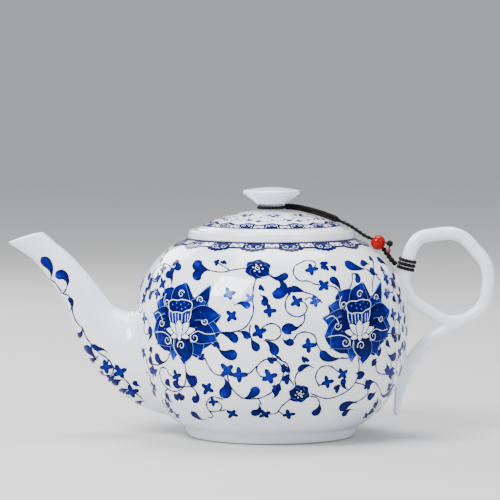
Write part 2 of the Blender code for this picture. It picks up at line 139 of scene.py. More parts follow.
def between(a: Array, b: Array, c: Array, d: Array, t: float) -> Array:
    """The point a share t of the way from b to c, on a smooth curve that a comes before and d after.

    Args:
        a, b, c, d: four points in a row.
        t: the share of the way from b to c.

    Returns:
        The point.
    """
    return 0.5 * (2 * b + (c - a) * t + (2 * a - 5 * b + 4 * c - d) * t**2 + (3 * b - a - 3 * c + d) * t**3)


def through(points: Points, spacing: float) -> Array:
    """One smooth curve through the given points.

    Args:
        points: the points that the curve passes, of any dimension.
        spacing: the distance between the points returned, in the same unit.

    Returns:
        An array of points.
    """
    knots = np.array(points, float)
    knots = np.vstack([2 * knots[0] - knots[1], knots, 2 * knots[-1] - knots[-2]])
    route = []
    for a, b, c, d in zip(knots, knots[1:], knots[2:], knots[3:]):
        count = max(1, int(round(np.linalg.norm(c - b) / spacing)))
        route += [between(a, b, c, d, t) for t in np.arange(count) / count]
    return np.array(route + [knots[-2]])


def eased(corners: Points, radius: float, closed: bool = False, steps: int = 6) -> list:
    """The corners' outline with every bend rounded off.

    Args:
        corners: the outline's corners, as pairs.
        radius: how far from a corner its bend starts.
        closed: whether the last corner joins the first.
        steps: spans in one bend.

    Returns:
        A list of pairs.
    """
    points, count = [], len(corners)
    for i, corner in enumerate(corners):
        here = Vector(corner)
        if not closed and i in (0, count - 1):
            points.append(tuple(here))
            continue
        before, after = Vector(corners[i - 1]), Vector(corners[(i + 1) % count])
        reach = min(radius, (before - here).length * 0.45, (after - here).length * 0.45)
        start = here + (before - here).normalized() * reach
        end = here + (after - here).normalized() * reach
        for step in range(steps + 1):
            t = step / steps
            points.append(tuple(start * (1 - t) ** 2 + here * 2 * t * (1 - t) + end * t * t))
    return points


def beside(points: Points, distance: float) -> list:
    """The outline moved to the left of its direction of travel by the distance.

    Args:
        points: the outline, as pairs.
        distance: how far it moves.

    Returns:
        A list of pairs.
    """
    line = np.array(points, float)
    way = np.gradient(line, axis=0)
    way /= np.linalg.norm(way, axis=1)[:, None]
    return [tuple(p) for p in line + np.stack([-way[:, 1], way[:, 0]], 1) * distance]


def squircle(count: int, half_width: float, half_depth: float, power: float) -> list:
    """A closed rounded-square outline with the given half sizes.

    Args:
        count: how many points it has.
        half_width, half_depth: its half sizes.
        power: 2 for an ellipse, more for squarer corners.

    Returns:
        A list of pairs.
    """
    angles = np.linspace(0, 2 * math.pi, count, endpoint=False)
    c, s = np.cos(angles), np.sin(angles)
    u = np.sign(c) * np.abs(c) ** (2 / power) * half_width
    v = np.sign(s) * np.abs(s) ** (2 / power) * half_depth
    return list(zip(u.tolist(), v.tolist()))


def smoothstep(t: float) -> float:
    """A soft ramp from 0 to 1."""
    t = min(max(t, 0.0), 1.0)
    return t * t * (3 - 2 * t)


# ---------------------------------------------------------------- mesh tools


class Workshop:
    """Builds, joins and finishes the meshes, all round the pot's own axis."""

    def __init__(self, axis_x: float) -> None:
        """Keeps where the pot's axis stands in the shared frame."""
        self.axis_x = axis_x

    def place(self, point: Point) -> Vector:
        """A point given round the pot's axis, in the shared frame."""
        return Vector((point[0] + self.axis_x, point[1], point[2]))

    @staticmethod
    def activate(obj: Obj) -> None:
        """Selects one object alone and makes it the active one."""
        bpy.ops.object.select_all(action="DESELECT")
        obj.select_set(True)
        bpy.context.view_layer.objects.active = obj

    def skinned(self, obj: Obj, merge: Optional[float] = None) -> Obj:
        """Merges the mesh's doubles if asked, turns every face outward and smooths its shading.

        Args:
            obj: the mesh object.
            merge: how close two points are to be one, or None.

        Returns:
            The same object.
        """
        self.activate(obj)
        bpy.ops.object.mode_set(mode="EDIT")
        bpy.ops.mesh.select_all(action="SELECT")
        if merge is not None:
            bpy.ops.mesh.remove_doubles(threshold=merge)
        bpy.ops.mesh.normals_make_consistent(inside=False)
        bpy.ops.object.mode_set(mode="OBJECT")
        bpy.ops.object.shade_smooth()
        return obj

    def line_object(self, name: str, lines: list, closed: bool = False, flat_profile: bool = False) -> Obj:
        """A curve object of straight spans.

        Args:
            name: the object's name.
            lines: a list of point lists, pairs for an upright profile or triples.
            closed: whether each line is a loop.
            flat_profile: True for a section that is used as a bevel, left in its own plane.

        Returns:
            The curve object.
        """
        data = bpy.data.curves.new(name, "CURVE")
        data.dimensions = "2D" if flat_profile else "3D"
        for line in lines:
            spline = data.splines.new("POLY")
            spline.points.add(len(line) - 1)
            spline.use_cyclic_u = closed
            for target, point in zip(spline.points, line):
                if flat_profile:
                    target.co = (point[0], point[1], 0.0, 1.0)
                elif len(point) == 2:
                    target.co = (point[0] + self.axis_x, 0.0, point[1], 1.0)
                else:
                    target.co = (*self.place(point), 1.0)
        obj = bpy.data.objects.new(name, data)
        bpy.context.scene.collection.objects.link(obj)
        return obj

    def spin(
        self, name: str, outline: Points, steps: int, closed: bool = False,
        centre: Point = (0.0, 0.0, 0.0), axis: Point = (0.0, 0.0, 1.0),
    ) -> Obj:
        """Turns an outline round an axis into a closed solid.

        Args:
            name: the object's name.
            outline: the profile as (radius, height) pairs.
            steps: sides of the turned shape.
            closed: whether the profile is a loop that clears the axis.
            centre: a point of the axis, round the pot's own axis.
            axis: the direction of the axis.

        Returns:
            The mesh object.
        """
        obj = self.line_object(name, [outline], closed)
        self.activate(obj)
        bpy.ops.object.convert(target="MESH")
        bpy.ops.object.mode_set(mode="EDIT")
        bpy.ops.mesh.select_all(action="SELECT")
        bpy.ops.mesh.spin(steps=steps, angle=2 * math.pi, center=self.place(centre), axis=axis)
        bpy.ops.object.mode_set(mode="OBJECT")
        return self.skinned(obj, 2e-6)

    def grid(self, name: str, rows: Sequence, closed_rows: bool = True) -> Obj:
        """A mesh from rows of points that are each a closed ring.

        Args:
            name: the object's name.
            rows: an array of shape (rows, points, 3) round the pot's axis.
            closed_rows: whether the last row joins the first.

        Returns:
            The mesh object.
        """
        rows = np.array(rows, float)
        count, sides = rows.shape[:2]
        index = np.arange(count * sides).reshape(count, sides)
        low = index if closed_rows else index[:-1]
        high = np.roll(index, -1, 0) if closed_rows else index[1:]
        faces = np.stack([low, np.roll(low, -1, 1), np.roll(high, -1, 1), high], -1).reshape(-1, 4)
        return self.raw(name, rows.reshape(-1, 3), faces.tolist())

    def raw(self, name: str, points: Points, faces: list) -> Obj:
        """A mesh object from points round the pot's axis and faces.

        Args:
            name: the object's name.
            points: triples round the pot's axis.
            faces: lists of point indices.

        Returns:
            The mesh object.
        """
        data = bpy.data.meshes.new(name)
        data.from_pydata((np.array(points) + (self.axis_x, 0, 0)).tolist(), [], faces)
        data.validate()
        obj = bpy.data.objects.new(name, data)
        bpy.context.scene.collection.objects.link(obj)
        return self.skinned(obj)

    def sweep(
        self, name: str, lines: list, thickness: float, closed: bool = False, resolution: int = 3,
        section: Optional[tuple] = None, radii: Optional[Sequence] = None,
    ) -> Obj:
        """Round or shaped bars along lines, as one mesh.

        Args:
            name: the object's name.
            lines: point lists that the bars follow.
            thickness: the diameter of a round bar.
            closed: whether the lines are loops.
            resolution: how finely a round bar is cut.
            section: half width, half depth and squareness of a shaped bar, or None.
            radii: a scale for each point of the first line, or None.

        Returns:
            The mesh object.
        """
        obj = self.line_object(name, lines, closed)
        obj.data.use_fill_caps = True
        obj.data.twist_mode = "MINIMUM" if section is None else "Z_UP"
        guide = None
        if section is None:
            obj.data.bevel_depth = thickness / 2
            obj.data.bevel_resolution = resolution
        else:
            guide = self.line_object(name + "_section", [squircle(32, *section)], True, True)
            obj.data.bevel_mode = "OBJECT"
            obj.data.bevel_object = guide
        if radii is not None:
            for point, radius in zip(obj.data.splines[0].points, radii):
                point.radius = radius
        self.activate(obj)
        bpy.ops.object.convert(target="MESH")
        if guide:
            bpy.data.objects.remove(guide)
        return self.skinned(obj, 1e-7)

    def drill(self, obj: Obj, places: Points, way: Point, diameter: float, depth: float) -> None:
        """Bores straight holes through a piece.

        Args:
            obj: the piece.
            places: the middle of each hole, round the pot's axis.
            way: the direction of the holes.
            diameter, depth: the size of each hole.
        """
        for place in places:
            bpy.ops.mesh.primitive_cylinder_add(
                vertices=40, radius=diameter / 2, depth=depth, location=self.place(place),
                rotation=Vector(way).to_track_quat("Z", "Y").to_euler(),
            )
            rod = bpy.context.active_object
            self.modify(obj, "BOOLEAN", object=rod, operation="DIFFERENCE", solver="EXACT")
            bpy.data.objects.remove(rod)

    def modify(self, obj: Obj, kind: str, **settings: object) -> None:
        """Adds one modifier with its settings and applies it.

        Args:
            obj: the piece.
            kind: the modifier's type.
            settings: the modifier's own settings.
        """
        self.activate(obj)
        modifier = obj.modifiers.new(kind.title(), kind)
        for key, value in settings.items():
            setattr(modifier, key, value)
        bpy.ops.object.modifier_apply(modifier=modifier.name)

    def join(self, name: str, pieces: list) -> Obj:
        """Makes one object of several.

        Args:
            name: the joined object's name.
            pieces: the objects.

        Returns:
            The joined object.
        """
        self.activate(pieces[0])
        for piece in pieces[1:]:
            piece.select_set(True)
        bpy.ops.object.join()
        pieces[0].name = pieces[0].data.name = name
        return pieces[0]

    @staticmethod
    def deliver(obj: Obj, part: Optional[Part], slot: Slot, material: Material, *nodes: str) -> Obj:
        """Gives a finished piece its material and body, and hides the CAD nodes that it stands for.

        Args:
            obj: the piece.
            part: the body it rides on, or None.
            slot: its material slot; not used.
            material: its material.
            nodes: the CAD nodes that it stands for.

        Returns:
            The same object.
        """
        obj.data.materials.clear()
        obj.data.materials.append(material)
        if part is not None:
            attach(obj, part.value)
        if nodes:
            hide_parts(*nodes)
        LOG.info("%s: %d faces", obj.name, len(obj.data.polygons))
        return obj


# ---------------------------------------------------------------- finishes


@dataclass(frozen=True)
class Finish:
    """A named procedural material."""

    name: str
    colour: tuple
    roughness: float
    coat: float = 0.0
    gloss: float = 0.5

    def start(self) -> tuple:
        """A new material with its shader and node tree."""
        material = bpy.data.materials.new(self.name)
        material.use_nodes = True
        tree = material.node_tree
        shader = tree.nodes["Principled BSDF"]
        shader.inputs["Base Color"].default_value = (*self.colour, 1)
        shader.inputs["Roughness"].default_value = self.roughness
        shader.inputs["Coat Weight"].default_value = self.coat
        shader.inputs["Specular IOR Level"].default_value = self.gloss
        shader.inputs["Coat Roughness"].default_value = 0.02
        return material, tree, shader

    @staticmethod
    def group(name: str, outputs: list, build: Callable) -> Tree:
        """A shared node group with object coordinates inside.

        Args:
            name: the group's name.
            outputs: pairs of socket name and socket type.
            build: a function given the tree and its output node, which fills the group.

        Returns:
            The node tree, made once.
        """
        found = bpy.data.node_groups.get(name)
        if found:
            return found
        tree = bpy.data.node_groups.new(name, "ShaderNodeTree")
        for socket, kind in outputs:
            tree.interface.new_socket(socket, in_out="OUTPUT", socket_type=kind)
        build(tree, tree.nodes.new("NodeGroupOutput"))
        return tree

    @staticmethod
    def noise(tree: Tree, scale: float, detail: float = 3.0, roughness: float = 0.5) -> Socket:
        """A noise texture on object coordinates, as its value socket.

        Args:
            tree: the node tree.
            scale: how fine the noise is.
            detail: how many finer layers it has.
            roughness: how strong the finer layers are.

        Returns:
            The socket.
        """
        coordinates = tree.nodes.new("ShaderNodeTexCoord")
        texture = tree.nodes.new("ShaderNodeTexNoise")
        texture.inputs["Scale"].default_value = scale
        texture.inputs["Detail"].default_value = detail
        texture.inputs["Roughness"].default_value = roughness
        tree.links.new(coordinates.outputs["Object"], texture.inputs["Vector"])
        return texture.outputs["Fac"]

    @staticmethod
    def remap(tree: Tree, value: Socket, low: float, high: float, to_low: float, to_high: float) -> Socket:
        """A value socket mapped from one range to another.

        Args:
            tree: the node tree.
            value: the socket.
            low, high: the range it comes in.
            to_low, to_high: the range it is given.

        Returns:
            The socket.
        """
        node = tree.nodes.new("ShaderNodeMapRange")
        for key, number in (("From Min", low), ("From Max", high), ("To Min", to_low), ("To Max", to_high)):
            node.inputs[key].default_value = number
        tree.links.new(value, node.inputs["Value"])
        return node.outputs["Result"]

    @staticmethod
    def bump(
        tree: Tree, height: Socket, strength: float, distance: float, normal: Optional[Socket] = None,
    ) -> Socket:
        """A bump from a height socket, over another normal if given.

        Args:
            tree: the node tree.
            height: the height socket.
            strength: the share of the bump that shows.
            distance: the bump's height in metres.
            normal: the normal beneath it, or None.

        Returns:
            The normal's socket.
        """
        node = tree.nodes.new("ShaderNodeBump")
        node.inputs["Strength"].default_value = strength
        node.inputs["Distance"].default_value = distance
        tree.links.new(height, node.inputs["Height"])
        if normal is not None:
            tree.links.new(normal, node.inputs["Normal"])
        return node.outputs["Normal"]

    @staticmethod
    def mix(
        tree: Tree, factor: Socket, first: Union[tuple, Socket], second: Union[tuple, Socket],
    ) -> Socket:
        """A colour mixed between two colours or sockets by a factor socket.

        Args:
            tree: the node tree.
            factor: the socket that mixes.
            first, second: colours or colour sockets.

        Returns:
            The colour's socket.
        """
        node = tree.nodes.new("ShaderNodeMix")
        node.data_type = "RGBA"
        tree.links.new(factor, node.inputs["Factor"])
        for socket, value in (("A", first), ("B", second)):
            target = [s for s in node.inputs if s.name == socket and s.type == "RGBA"][0]
            if isinstance(value, tuple):
                target.default_value = (*value, 1)
            else:
                tree.links.new(value, target)
        return [s for s in node.outputs if s.type == "RGBA"][0]

    def glaze_group(self, tree: Tree, out: Node) -> None:
        """Fills the shared group with slow waves, fine pitting, uneven gloss and a mottle.

        Args:
            tree: the group's tree.
            out: the group's output node.
        """
        normal = self.bump(tree, self.noise(tree, 38.0, 1.0), 0.05, 0.004)
        normal = self.bump(tree, self.noise(tree, 1500.0, 2.0), 0.035, 0.0004, normal)
        gloss = self.remap(tree, self.noise(tree, 140.0), 0.3, 0.7, 0.05, 0.12)
        mottle = self.remap(tree, self.noise(tree, 60.0, 4.0), 0.3, 0.7, 0.0, 1.0)
        for socket, value in (("Normal", normal), ("Gloss", gloss), ("Mottle", mottle)):
            tree.links.new(value, out.inputs[socket])

    def glaze_skin(self, tree: Tree, shader: Node) -> Socket:
        """Adds the fired glaze's uneven face to a shader and gives back its mottle.

        Args:
            tree: the node tree.
            shader: the material's shader.

        Returns:
            The mottle's socket.
        """
        sockets = [(name, "NodeSocket" + kind) for name, kind in GLAZE_SOCKETS]
        node = tree.nodes.new("ShaderNodeGroup")
        node.node_tree = self.group("glaze_skin", sockets, self.glaze_group)
        tree.links.new(node.outputs["Normal"], shader.inputs["Normal"])
        tree.links.new(node.outputs["Gloss"], shader.inputs["Roughness"])
        return node.outputs["Mottle"]


@dataclass(frozen=True)
class Glaze(Finish):
    """Cool white glaze over fine clay, left bare where the foot stands."""

    shade: tuple = (0.82, 0.87, 0.96)
    clay: tuple = (0.62, 0.55, 0.46)
    bare_height: float = 0.0007

    def build(self) -> Material:
        """The material."""
        material, tree, shader = self.start()
        mottle = self.glaze_skin(tree, shader)
        colour = self.mix(tree, mottle, self.colour, self.shade)
        coordinates = tree.nodes.new("ShaderNodeTexCoord")
        split = tree.nodes.new("ShaderNodeSeparateXYZ")
        tree.links.new(coordinates.outputs["Object"], split.inputs[0])
        bare = self.remap(tree, split.outputs["Z"], self.bare_height * 0.6, self.bare_height, 1.0, 0.0)
        tree.links.new(self.mix(tree, bare, colour, self.clay), shader.inputs["Base Color"])
        tree.links.new(self.remap(tree, bare, 0.0, 1.0, self.coat, 0.0), shader.inputs["Coat Weight"])
        shader.inputs["Subsurface Weight"].default_value = 0.06
        shader.inputs["Subsurface Radius"].default_value = (0.9, 1.0, 1.2)
        shader.inputs["Subsurface Scale"].default_value = 0.002
        return material


@dataclass(frozen=True)
class Cobalt(Finish):
    """Painted blue under the glaze: the tone attribute runs from navy line to pale wash."""

    tones: tuple = (
        (0.0, (0.0006, 0.0012, 0.045)), (0.35, (0.001, 0.0035, 0.13)), (0.7, (0.006, 0.021, 0.34)),
        (1.0, (0.11, 0.22, 0.74)),
    )

    def build(self) -> Material:
        """The material."""
        material, tree, shader = self.start()
        self.glaze_skin(tree, shader)
        attribute = tree.nodes.new("ShaderNodeAttribute")
        attribute.attribute_name = "tone"
        pool = self.remap(tree, self.noise(tree, 420.0, 3.0, 0.6), 0.3, 0.7, -0.16, 0.16)
        total = tree.nodes.new("ShaderNodeMath")
        tree.links.new(attribute.outputs["Fac"], total.inputs[0])
        tree.links.new(pool, total.inputs[1])
        ramp = tree.nodes.new("ShaderNodeValToRGB")
        elements = ramp.color_ramp.elements
        while len(elements) < len(self.tones):
            elements.new(0.5)
        for element, (place, colour) in zip(elements, self.tones):
            element.position = place
            element.color = (*colour, 1)
        tree.links.new(total.outputs[0], ramp.inputs["Fac"])
        tree.links.new(ramp.outputs["Color"], shader.inputs["Base Color"])
        return material


@dataclass(frozen=True)
class Line(Finish):
    """A thin pencilled line or a reserved white, under the glaze."""

    second: tuple = (0.008, 0.018, 0.14)

    def build(self) -> Material:
        """The material."""
        material, tree, shader = self.start()
        self.glaze_skin(tree, shader)
        drift = self.remap(tree, self.noise(tree, 260.0), 0.35, 0.65, 0.0, 1.0)
        tree.links.new(self.mix(tree, drift, self.colour, self.second), shader.inputs["Base Color"])
        return material


@dataclass(frozen=True)
class Thread(Finish):
    """Waxed black cord with fine fibres."""

    worn: tuple = (0.022, 0.012, 0.012)

    def build(self) -> Material:
        """The material."""
        material, tree, shader = self.start()
        fibres = self.noise(tree, 5200.0, 2.0)
        drift = self.remap(tree, self.noise(tree, 700.0), 0.35, 0.75, 0.0, 1.0)
        tree.links.new(self.mix(tree, drift, self.colour, self.worn), shader.inputs["Base Color"])
        tree.links.new(self.bump(tree, fibres, 0.5, 0.0002), shader.inputs["Normal"])
        shader.inputs["Sheen Weight"].default_value = 0.02
        return material


@dataclass(frozen=True)
class Polished(Finish):
    """Polished stone bead with a faint cloud in its colour."""

    deep: tuple = (0.24, 0.0005, 0.002)

    def build(self) -> Material:
        """The material."""
        material, tree, shader = self.start()
        cloud = self.remap(tree, self.noise(tree, 300.0, 2.0), 0.35, 0.7, 0.0, 1.0)
        tree.links.new(self.mix(tree, cloud, self.colour, self.deep), shader.inputs["Base Color"])
        tree.links.new(self.bump(tree, self.noise(tree, 900.0), 0.03, 0.0003), shader.inputs["Normal"])
        return material


@dataclass(frozen=True)
class Backdrop(Finish):
    """Matt pale paint with a trace of mottling."""

    def build(self) -> Material:
        """The material."""
        material, tree, shader = self.start()
        drift = self.remap(tree, self.noise(tree, 9.0, 4.0), 0.3, 0.7, 0.0, 1.0)
        darker = tuple(c * 0.96 for c in self.colour)
        tree.links.new(self.mix(tree, drift, self.colour, darker), shader.inputs["Base Color"])
        return material


class Palette:
    """Every material, made once."""

    def __init__(self) -> None:
        """Builds the materials."""
        self.glaze = Glaze("porcelain_glaze", (0.88, 0.92, 0.98), 0.08, 0.5).build()
        self.inks = {
            Ink.WASH: Cobalt("cobalt_wash", (0.0, 0.01, 0.3), 0.10, 0.0, 0.06).build(),
            Ink.LINE: Line("pencilled_line", (0.001, 0.003, 0.06), 0.08, 0.0, 0.06).build(),
            Ink.RESERVE: Line(
                "reserved_white", (0.86, 0.91, 0.98), 0.08, 0.5, 0.4, second=(0.74, 0.82, 0.96)
            ).build(),
        }
        self.cord = Thread("waxed_cord", (0.003, 0.002, 0.003), 0.55, 0.0, 0.10).build()
        self.red = Polished("red_stone", (0.34, 0.0006, 0.002), 0.07, 0.0, 0.16).build()
        crimson = Polished("crimson_seed", (0.34, 0.004, 0.030), 0.12, 0.3, 0.4, deep=(0.12, 0.002, 0.012))
        self.crimson = crimson.build()
        self.floor = Backdrop("studio_floor", (0.62, 0.615, 0.61), 0.6).build()


# ---------------------------------------------------------------- porcelain


@dataclass(frozen=True)
class PotSize:
    """Sizes of the pot's wall."""

    belly_radius: float = 0.0645
    belly_height: float = 0.0520
    foot_radius: float = 0.0412
    foot_taper: float = 0.0022
    foot_height: float = 0.0048
    foot_width: float = 0.0042
    foot_recess: float = 0.0030
    land_radius: float = 0.0390
    mouth_radius: float = 0.0350
    seat_height: float = 0.0926
    mouth_lip: float = 0.0032
    wall: float = 0.0032
    floor_height: float = 0.0085
    shoulder_fullness: float = 0.0250
    shoulder_reach: float = 0.0122
    shoulder_slope: float = math.radians(18)
    keel_fullness: float = 0.0255
    keel_reach: float = 0.0147
    keel_slope: float = math.radians(27)
    edge_round: float = 0.0007
    strainer_hole: float = 0.0056
    strainer_pitch: float = 0.0078
    strainer_height: float = 0.0400
    steps: int = 176


class Skin:
    """The face of a turned shape, addressed by millimetres round it and up it."""

    def __init__(self, outline: Points) -> None:
        """Keeps the outline, as (radius, height) pairs in metres, and its running length."""
        self.line = np.array(outline, float)
        spans = np.linalg.norm(np.diff(self.line, axis=0), axis=1)
        self.length = np.concatenate([[0], np.cumsum(spans)])
        way = np.gradient(self.line, self.length, axis=0)
        way /= np.linalg.norm(way, axis=1)[:, None]
        self.normal = np.stack([way[:, 1], -way[:, 0]], 1)

    def radius(self, height: float) -> float:
        """The radius at a height."""
        return np.interp(height, self.line[:, 1], self.line[:, 0])

    def along(self, height: float) -> float:
        """Running length at a height."""
        return np.interp(height, self.line[:, 1], self.length)

    def seen(self, points: Points) -> Array:
        """Points given as seen from the front turned into points on the skin.

        Args:
            points: pairs of millimetres across from the axis and up from the table, where a viewer in front
                of the pot sees them against its upright middle plane.

        Returns:
            An array of millimetres round the skin and along it.
        """
        across, level = EYE_ACROSS / MM, EYE_HEIGHT / MM
        made = []
        for x, z in points:
            near_x, near_z = x, z
            for _ in range(6):
                radius = float(self.radius(near_z * MM)) / MM
                share = 1 - math.sqrt(max(0.0, radius**2 - near_x**2)) / (EYE_DISTANCE / MM)
                near_x = across + (x - across) * share
                near_z = level + (z - level) * share
            turn = math.asin(max(-0.999, min(0.999, near_x / radius)))
            made.append((radius * turn, float(self.along(near_z * MM)) / MM))
        return np.array(made)

    def turned(self, degrees: float, height: float) -> Array:
        """The skin point at an angle from the front and a height in millimetres."""
        radius = float(self.radius(height * MM)) / MM
        return np.array([radius * math.radians(degrees), float(self.along(height * MM)) / MM])

    def wrap(self, points: Array, lift: Array, turn: float = 0.0) -> Array:
        """Lays flat points on the skin.

        Args:
            points: an array of millimetres round the skin and along it.
            lift: how far above the skin, in metres.
            turn: an extra turn round the axis, in radians.

        Returns:
            An array of points round the pot's axis, in metres.
        """
        along = points[:, 1] * MM
        radius = np.interp(along, self.length, self.line[:, 0])
        height = np.interp(along, self.length, self.line[:, 1])
        out = np.interp(along, self.length, self.normal[:, 0])
        up = np.interp(along, self.length, self.normal[:, 1])
        angle = points[:, 0] * MM / np.maximum(radius, 1e-6) + turn
        far = radius + out * lift
        return np.stack([far * np.sin(angle), -far * np.cos(angle), height + up * lift], 1)

    def wrap_strip(self, points: Array, lift: Array, middle: float) -> Array:
        """Lays a strip drawn at one radius on the skin, with each mark kept at its own angle.

        Args:
            points: an array of millimetres round the strip and along the skin.
            lift: how far above the skin, in metres.
            middle: the radius that the strip was drawn at, in millimetres.

        Returns:
            An array of points round the pot's axis, in metres.
        """
        radius = np.interp(points[:, 1] * MM, self.length, self.line[:, 0]) / MM
        straight = points.copy()
        straight[:, 0] = points[:, 0] * radius / middle
        return self.wrap(straight, lift)


class Pot:
    """The squat pot with its foot ring, mouth and strainer."""

    def __init__(self, size: PotSize = PotSize()) -> None:
        """Keeps the sizes and draws the belly's outline."""
        self.size = size
        self.skin = Skin(self.belly())

    def belly(self) -> list:
        """The outer face from the top of the foot to the mouth's land."""
        s = self.size
        keel = cubic(
            (s.foot_radius, s.foot_height),
            (
                s.foot_radius + s.keel_reach * math.cos(s.keel_slope),
                s.foot_height + s.keel_reach * math.sin(s.keel_slope),
            ),
            (s.belly_radius, s.belly_height - s.keel_fullness),
            (s.belly_radius, s.belly_height),
            40,
        )
        shoulder = cubic(
            (s.belly_radius, s.belly_height),
            (s.belly_radius, s.belly_height + s.shoulder_fullness),
            (
                s.land_radius + s.shoulder_reach * math.cos(s.shoulder_slope),
                s.seat_height - s.shoulder_reach * math.sin(s.shoulder_slope),
            ),
            (s.land_radius, s.seat_height),
            40,
        )
        return keel + shoulder[1:]

    def outline(self) -> list:
        """The whole wall, from the middle of the underside to the middle of the floor."""
        s = self.size
        foot = s.foot_radius - s.foot_taper
        underside = eased(
            [
                (0.0, s.foot_recess),
                (foot - s.foot_width - s.foot_recess * 0.6, s.foot_recess),
                (foot - s.foot_width, 0.0),
                (foot, 0.0),
                (s.foot_radius, s.foot_height),
                self.belly()[3],
            ],
            s.edge_round * 1.6,
        )[:-1]
        lip = s.seat_height - s.mouth_lip
        inside = [
            p
            for p in reversed(beside(self.belly(), s.wall))
            if s.floor_height + s.wall < p[1] < lip and p[0] > s.mouth_radius
        ]
        mouth = eased(
            [self.belly()[-2], (s.land_radius, s.seat_height), (s.mouth_radius, s.seat_height),
             (s.mouth_radius, lip), inside[0]],
            s.edge_round,
        )[1:-1]
        corner = inside[-1]
        floor = eased([corner, (corner[0] - s.wall, s.floor_height), (0.0, s.floor_height)], s.wall)[1:]
        return underside + self.belly()[3:-1] + mouth + inside + floor

    def clear_of(self, point: Point) -> float:
        """How far a point round the axis stands outside the belly's face, measured level."""
        return math.hypot(point[0], point[1]) - float(self.skin.radius(point[2]))

    def onto(self, point: Point, lift: float = 0.0) -> Vector:
        """The point of the belly's face level with a point, lifted outward.

        Args:
            point: a point round the pot's axis.
            lift: how far outside the face.

        Returns:
            The point on the face.
        """
        radius = float(self.skin.radius(point[2])) + lift
        flat = math.hypot(point[0], point[1])
        return Vector((point[0] * radius / flat, point[1] * radius / flat, point[2]))

    def build(self, shop: Workshop, palette: Palette) -> Obj:
        """Turns the wall and bores the strainer behind the spout."""
        s = self.size
        pot = shop.spin("pot_body_glazed", self.outline(), s.steps)
        places = [(0.0, s.strainer_height)]
        for i in range(6):
            angle, pitch = math.pi / 3 * i, s.strainer_pitch
            places.append((math.cos(angle) * pitch, s.strainer_height + math.sin(angle) * pitch))
        wall_x = -float(self.skin.radius(s.strainer_height)) + s.wall / 2
        shop.drill(pot, [(wall_x, y, z) for y, z in places], (1, 0, 0), s.strainer_hole, s.wall * 4)
        return shop.deliver(pot, Part.POT, Slot.PORCELAIN, palette.glaze, "pot_body")


@dataclass(frozen=True)
class SpoutSize:
    """Middle line and half sizes of the spout from root to lip: x, z, half height, half width."""

    stations: tuple = (
        (-0.04, 0.0325, 0.024, 0.0205), (-0.05, 0.0345, 0.024, 0.02), (-0.06, 0.0378, 0.0215, 0.0178),
        (-0.0682, 0.0415, 0.0182, 0.0158), (-0.0752, 0.0465, 0.015, 0.0136),
        (-0.082, 0.0538, 0.0113, 0.011), (-0.0882, 0.0646, 0.0089, 0.0089),
        (-0.0934, 0.0721, 0.0081, 0.0081), (-0.0996, 0.0798, 0.0073, 0.0073),
        (-0.1074, 0.0873, 0.0065, 0.0065), (-0.1157, 0.0933, 0.0067, 0.0066),
    )
    wall: float = 0.0025
    lip_slope: float = math.radians(17)
    lip_round: float = 0.0007
    top_fillet: float = 0.0030
    side_fillet: float = 0.0055
    low_fillet: float = 0.0020
    sides: int = 72
    steps: int = 9


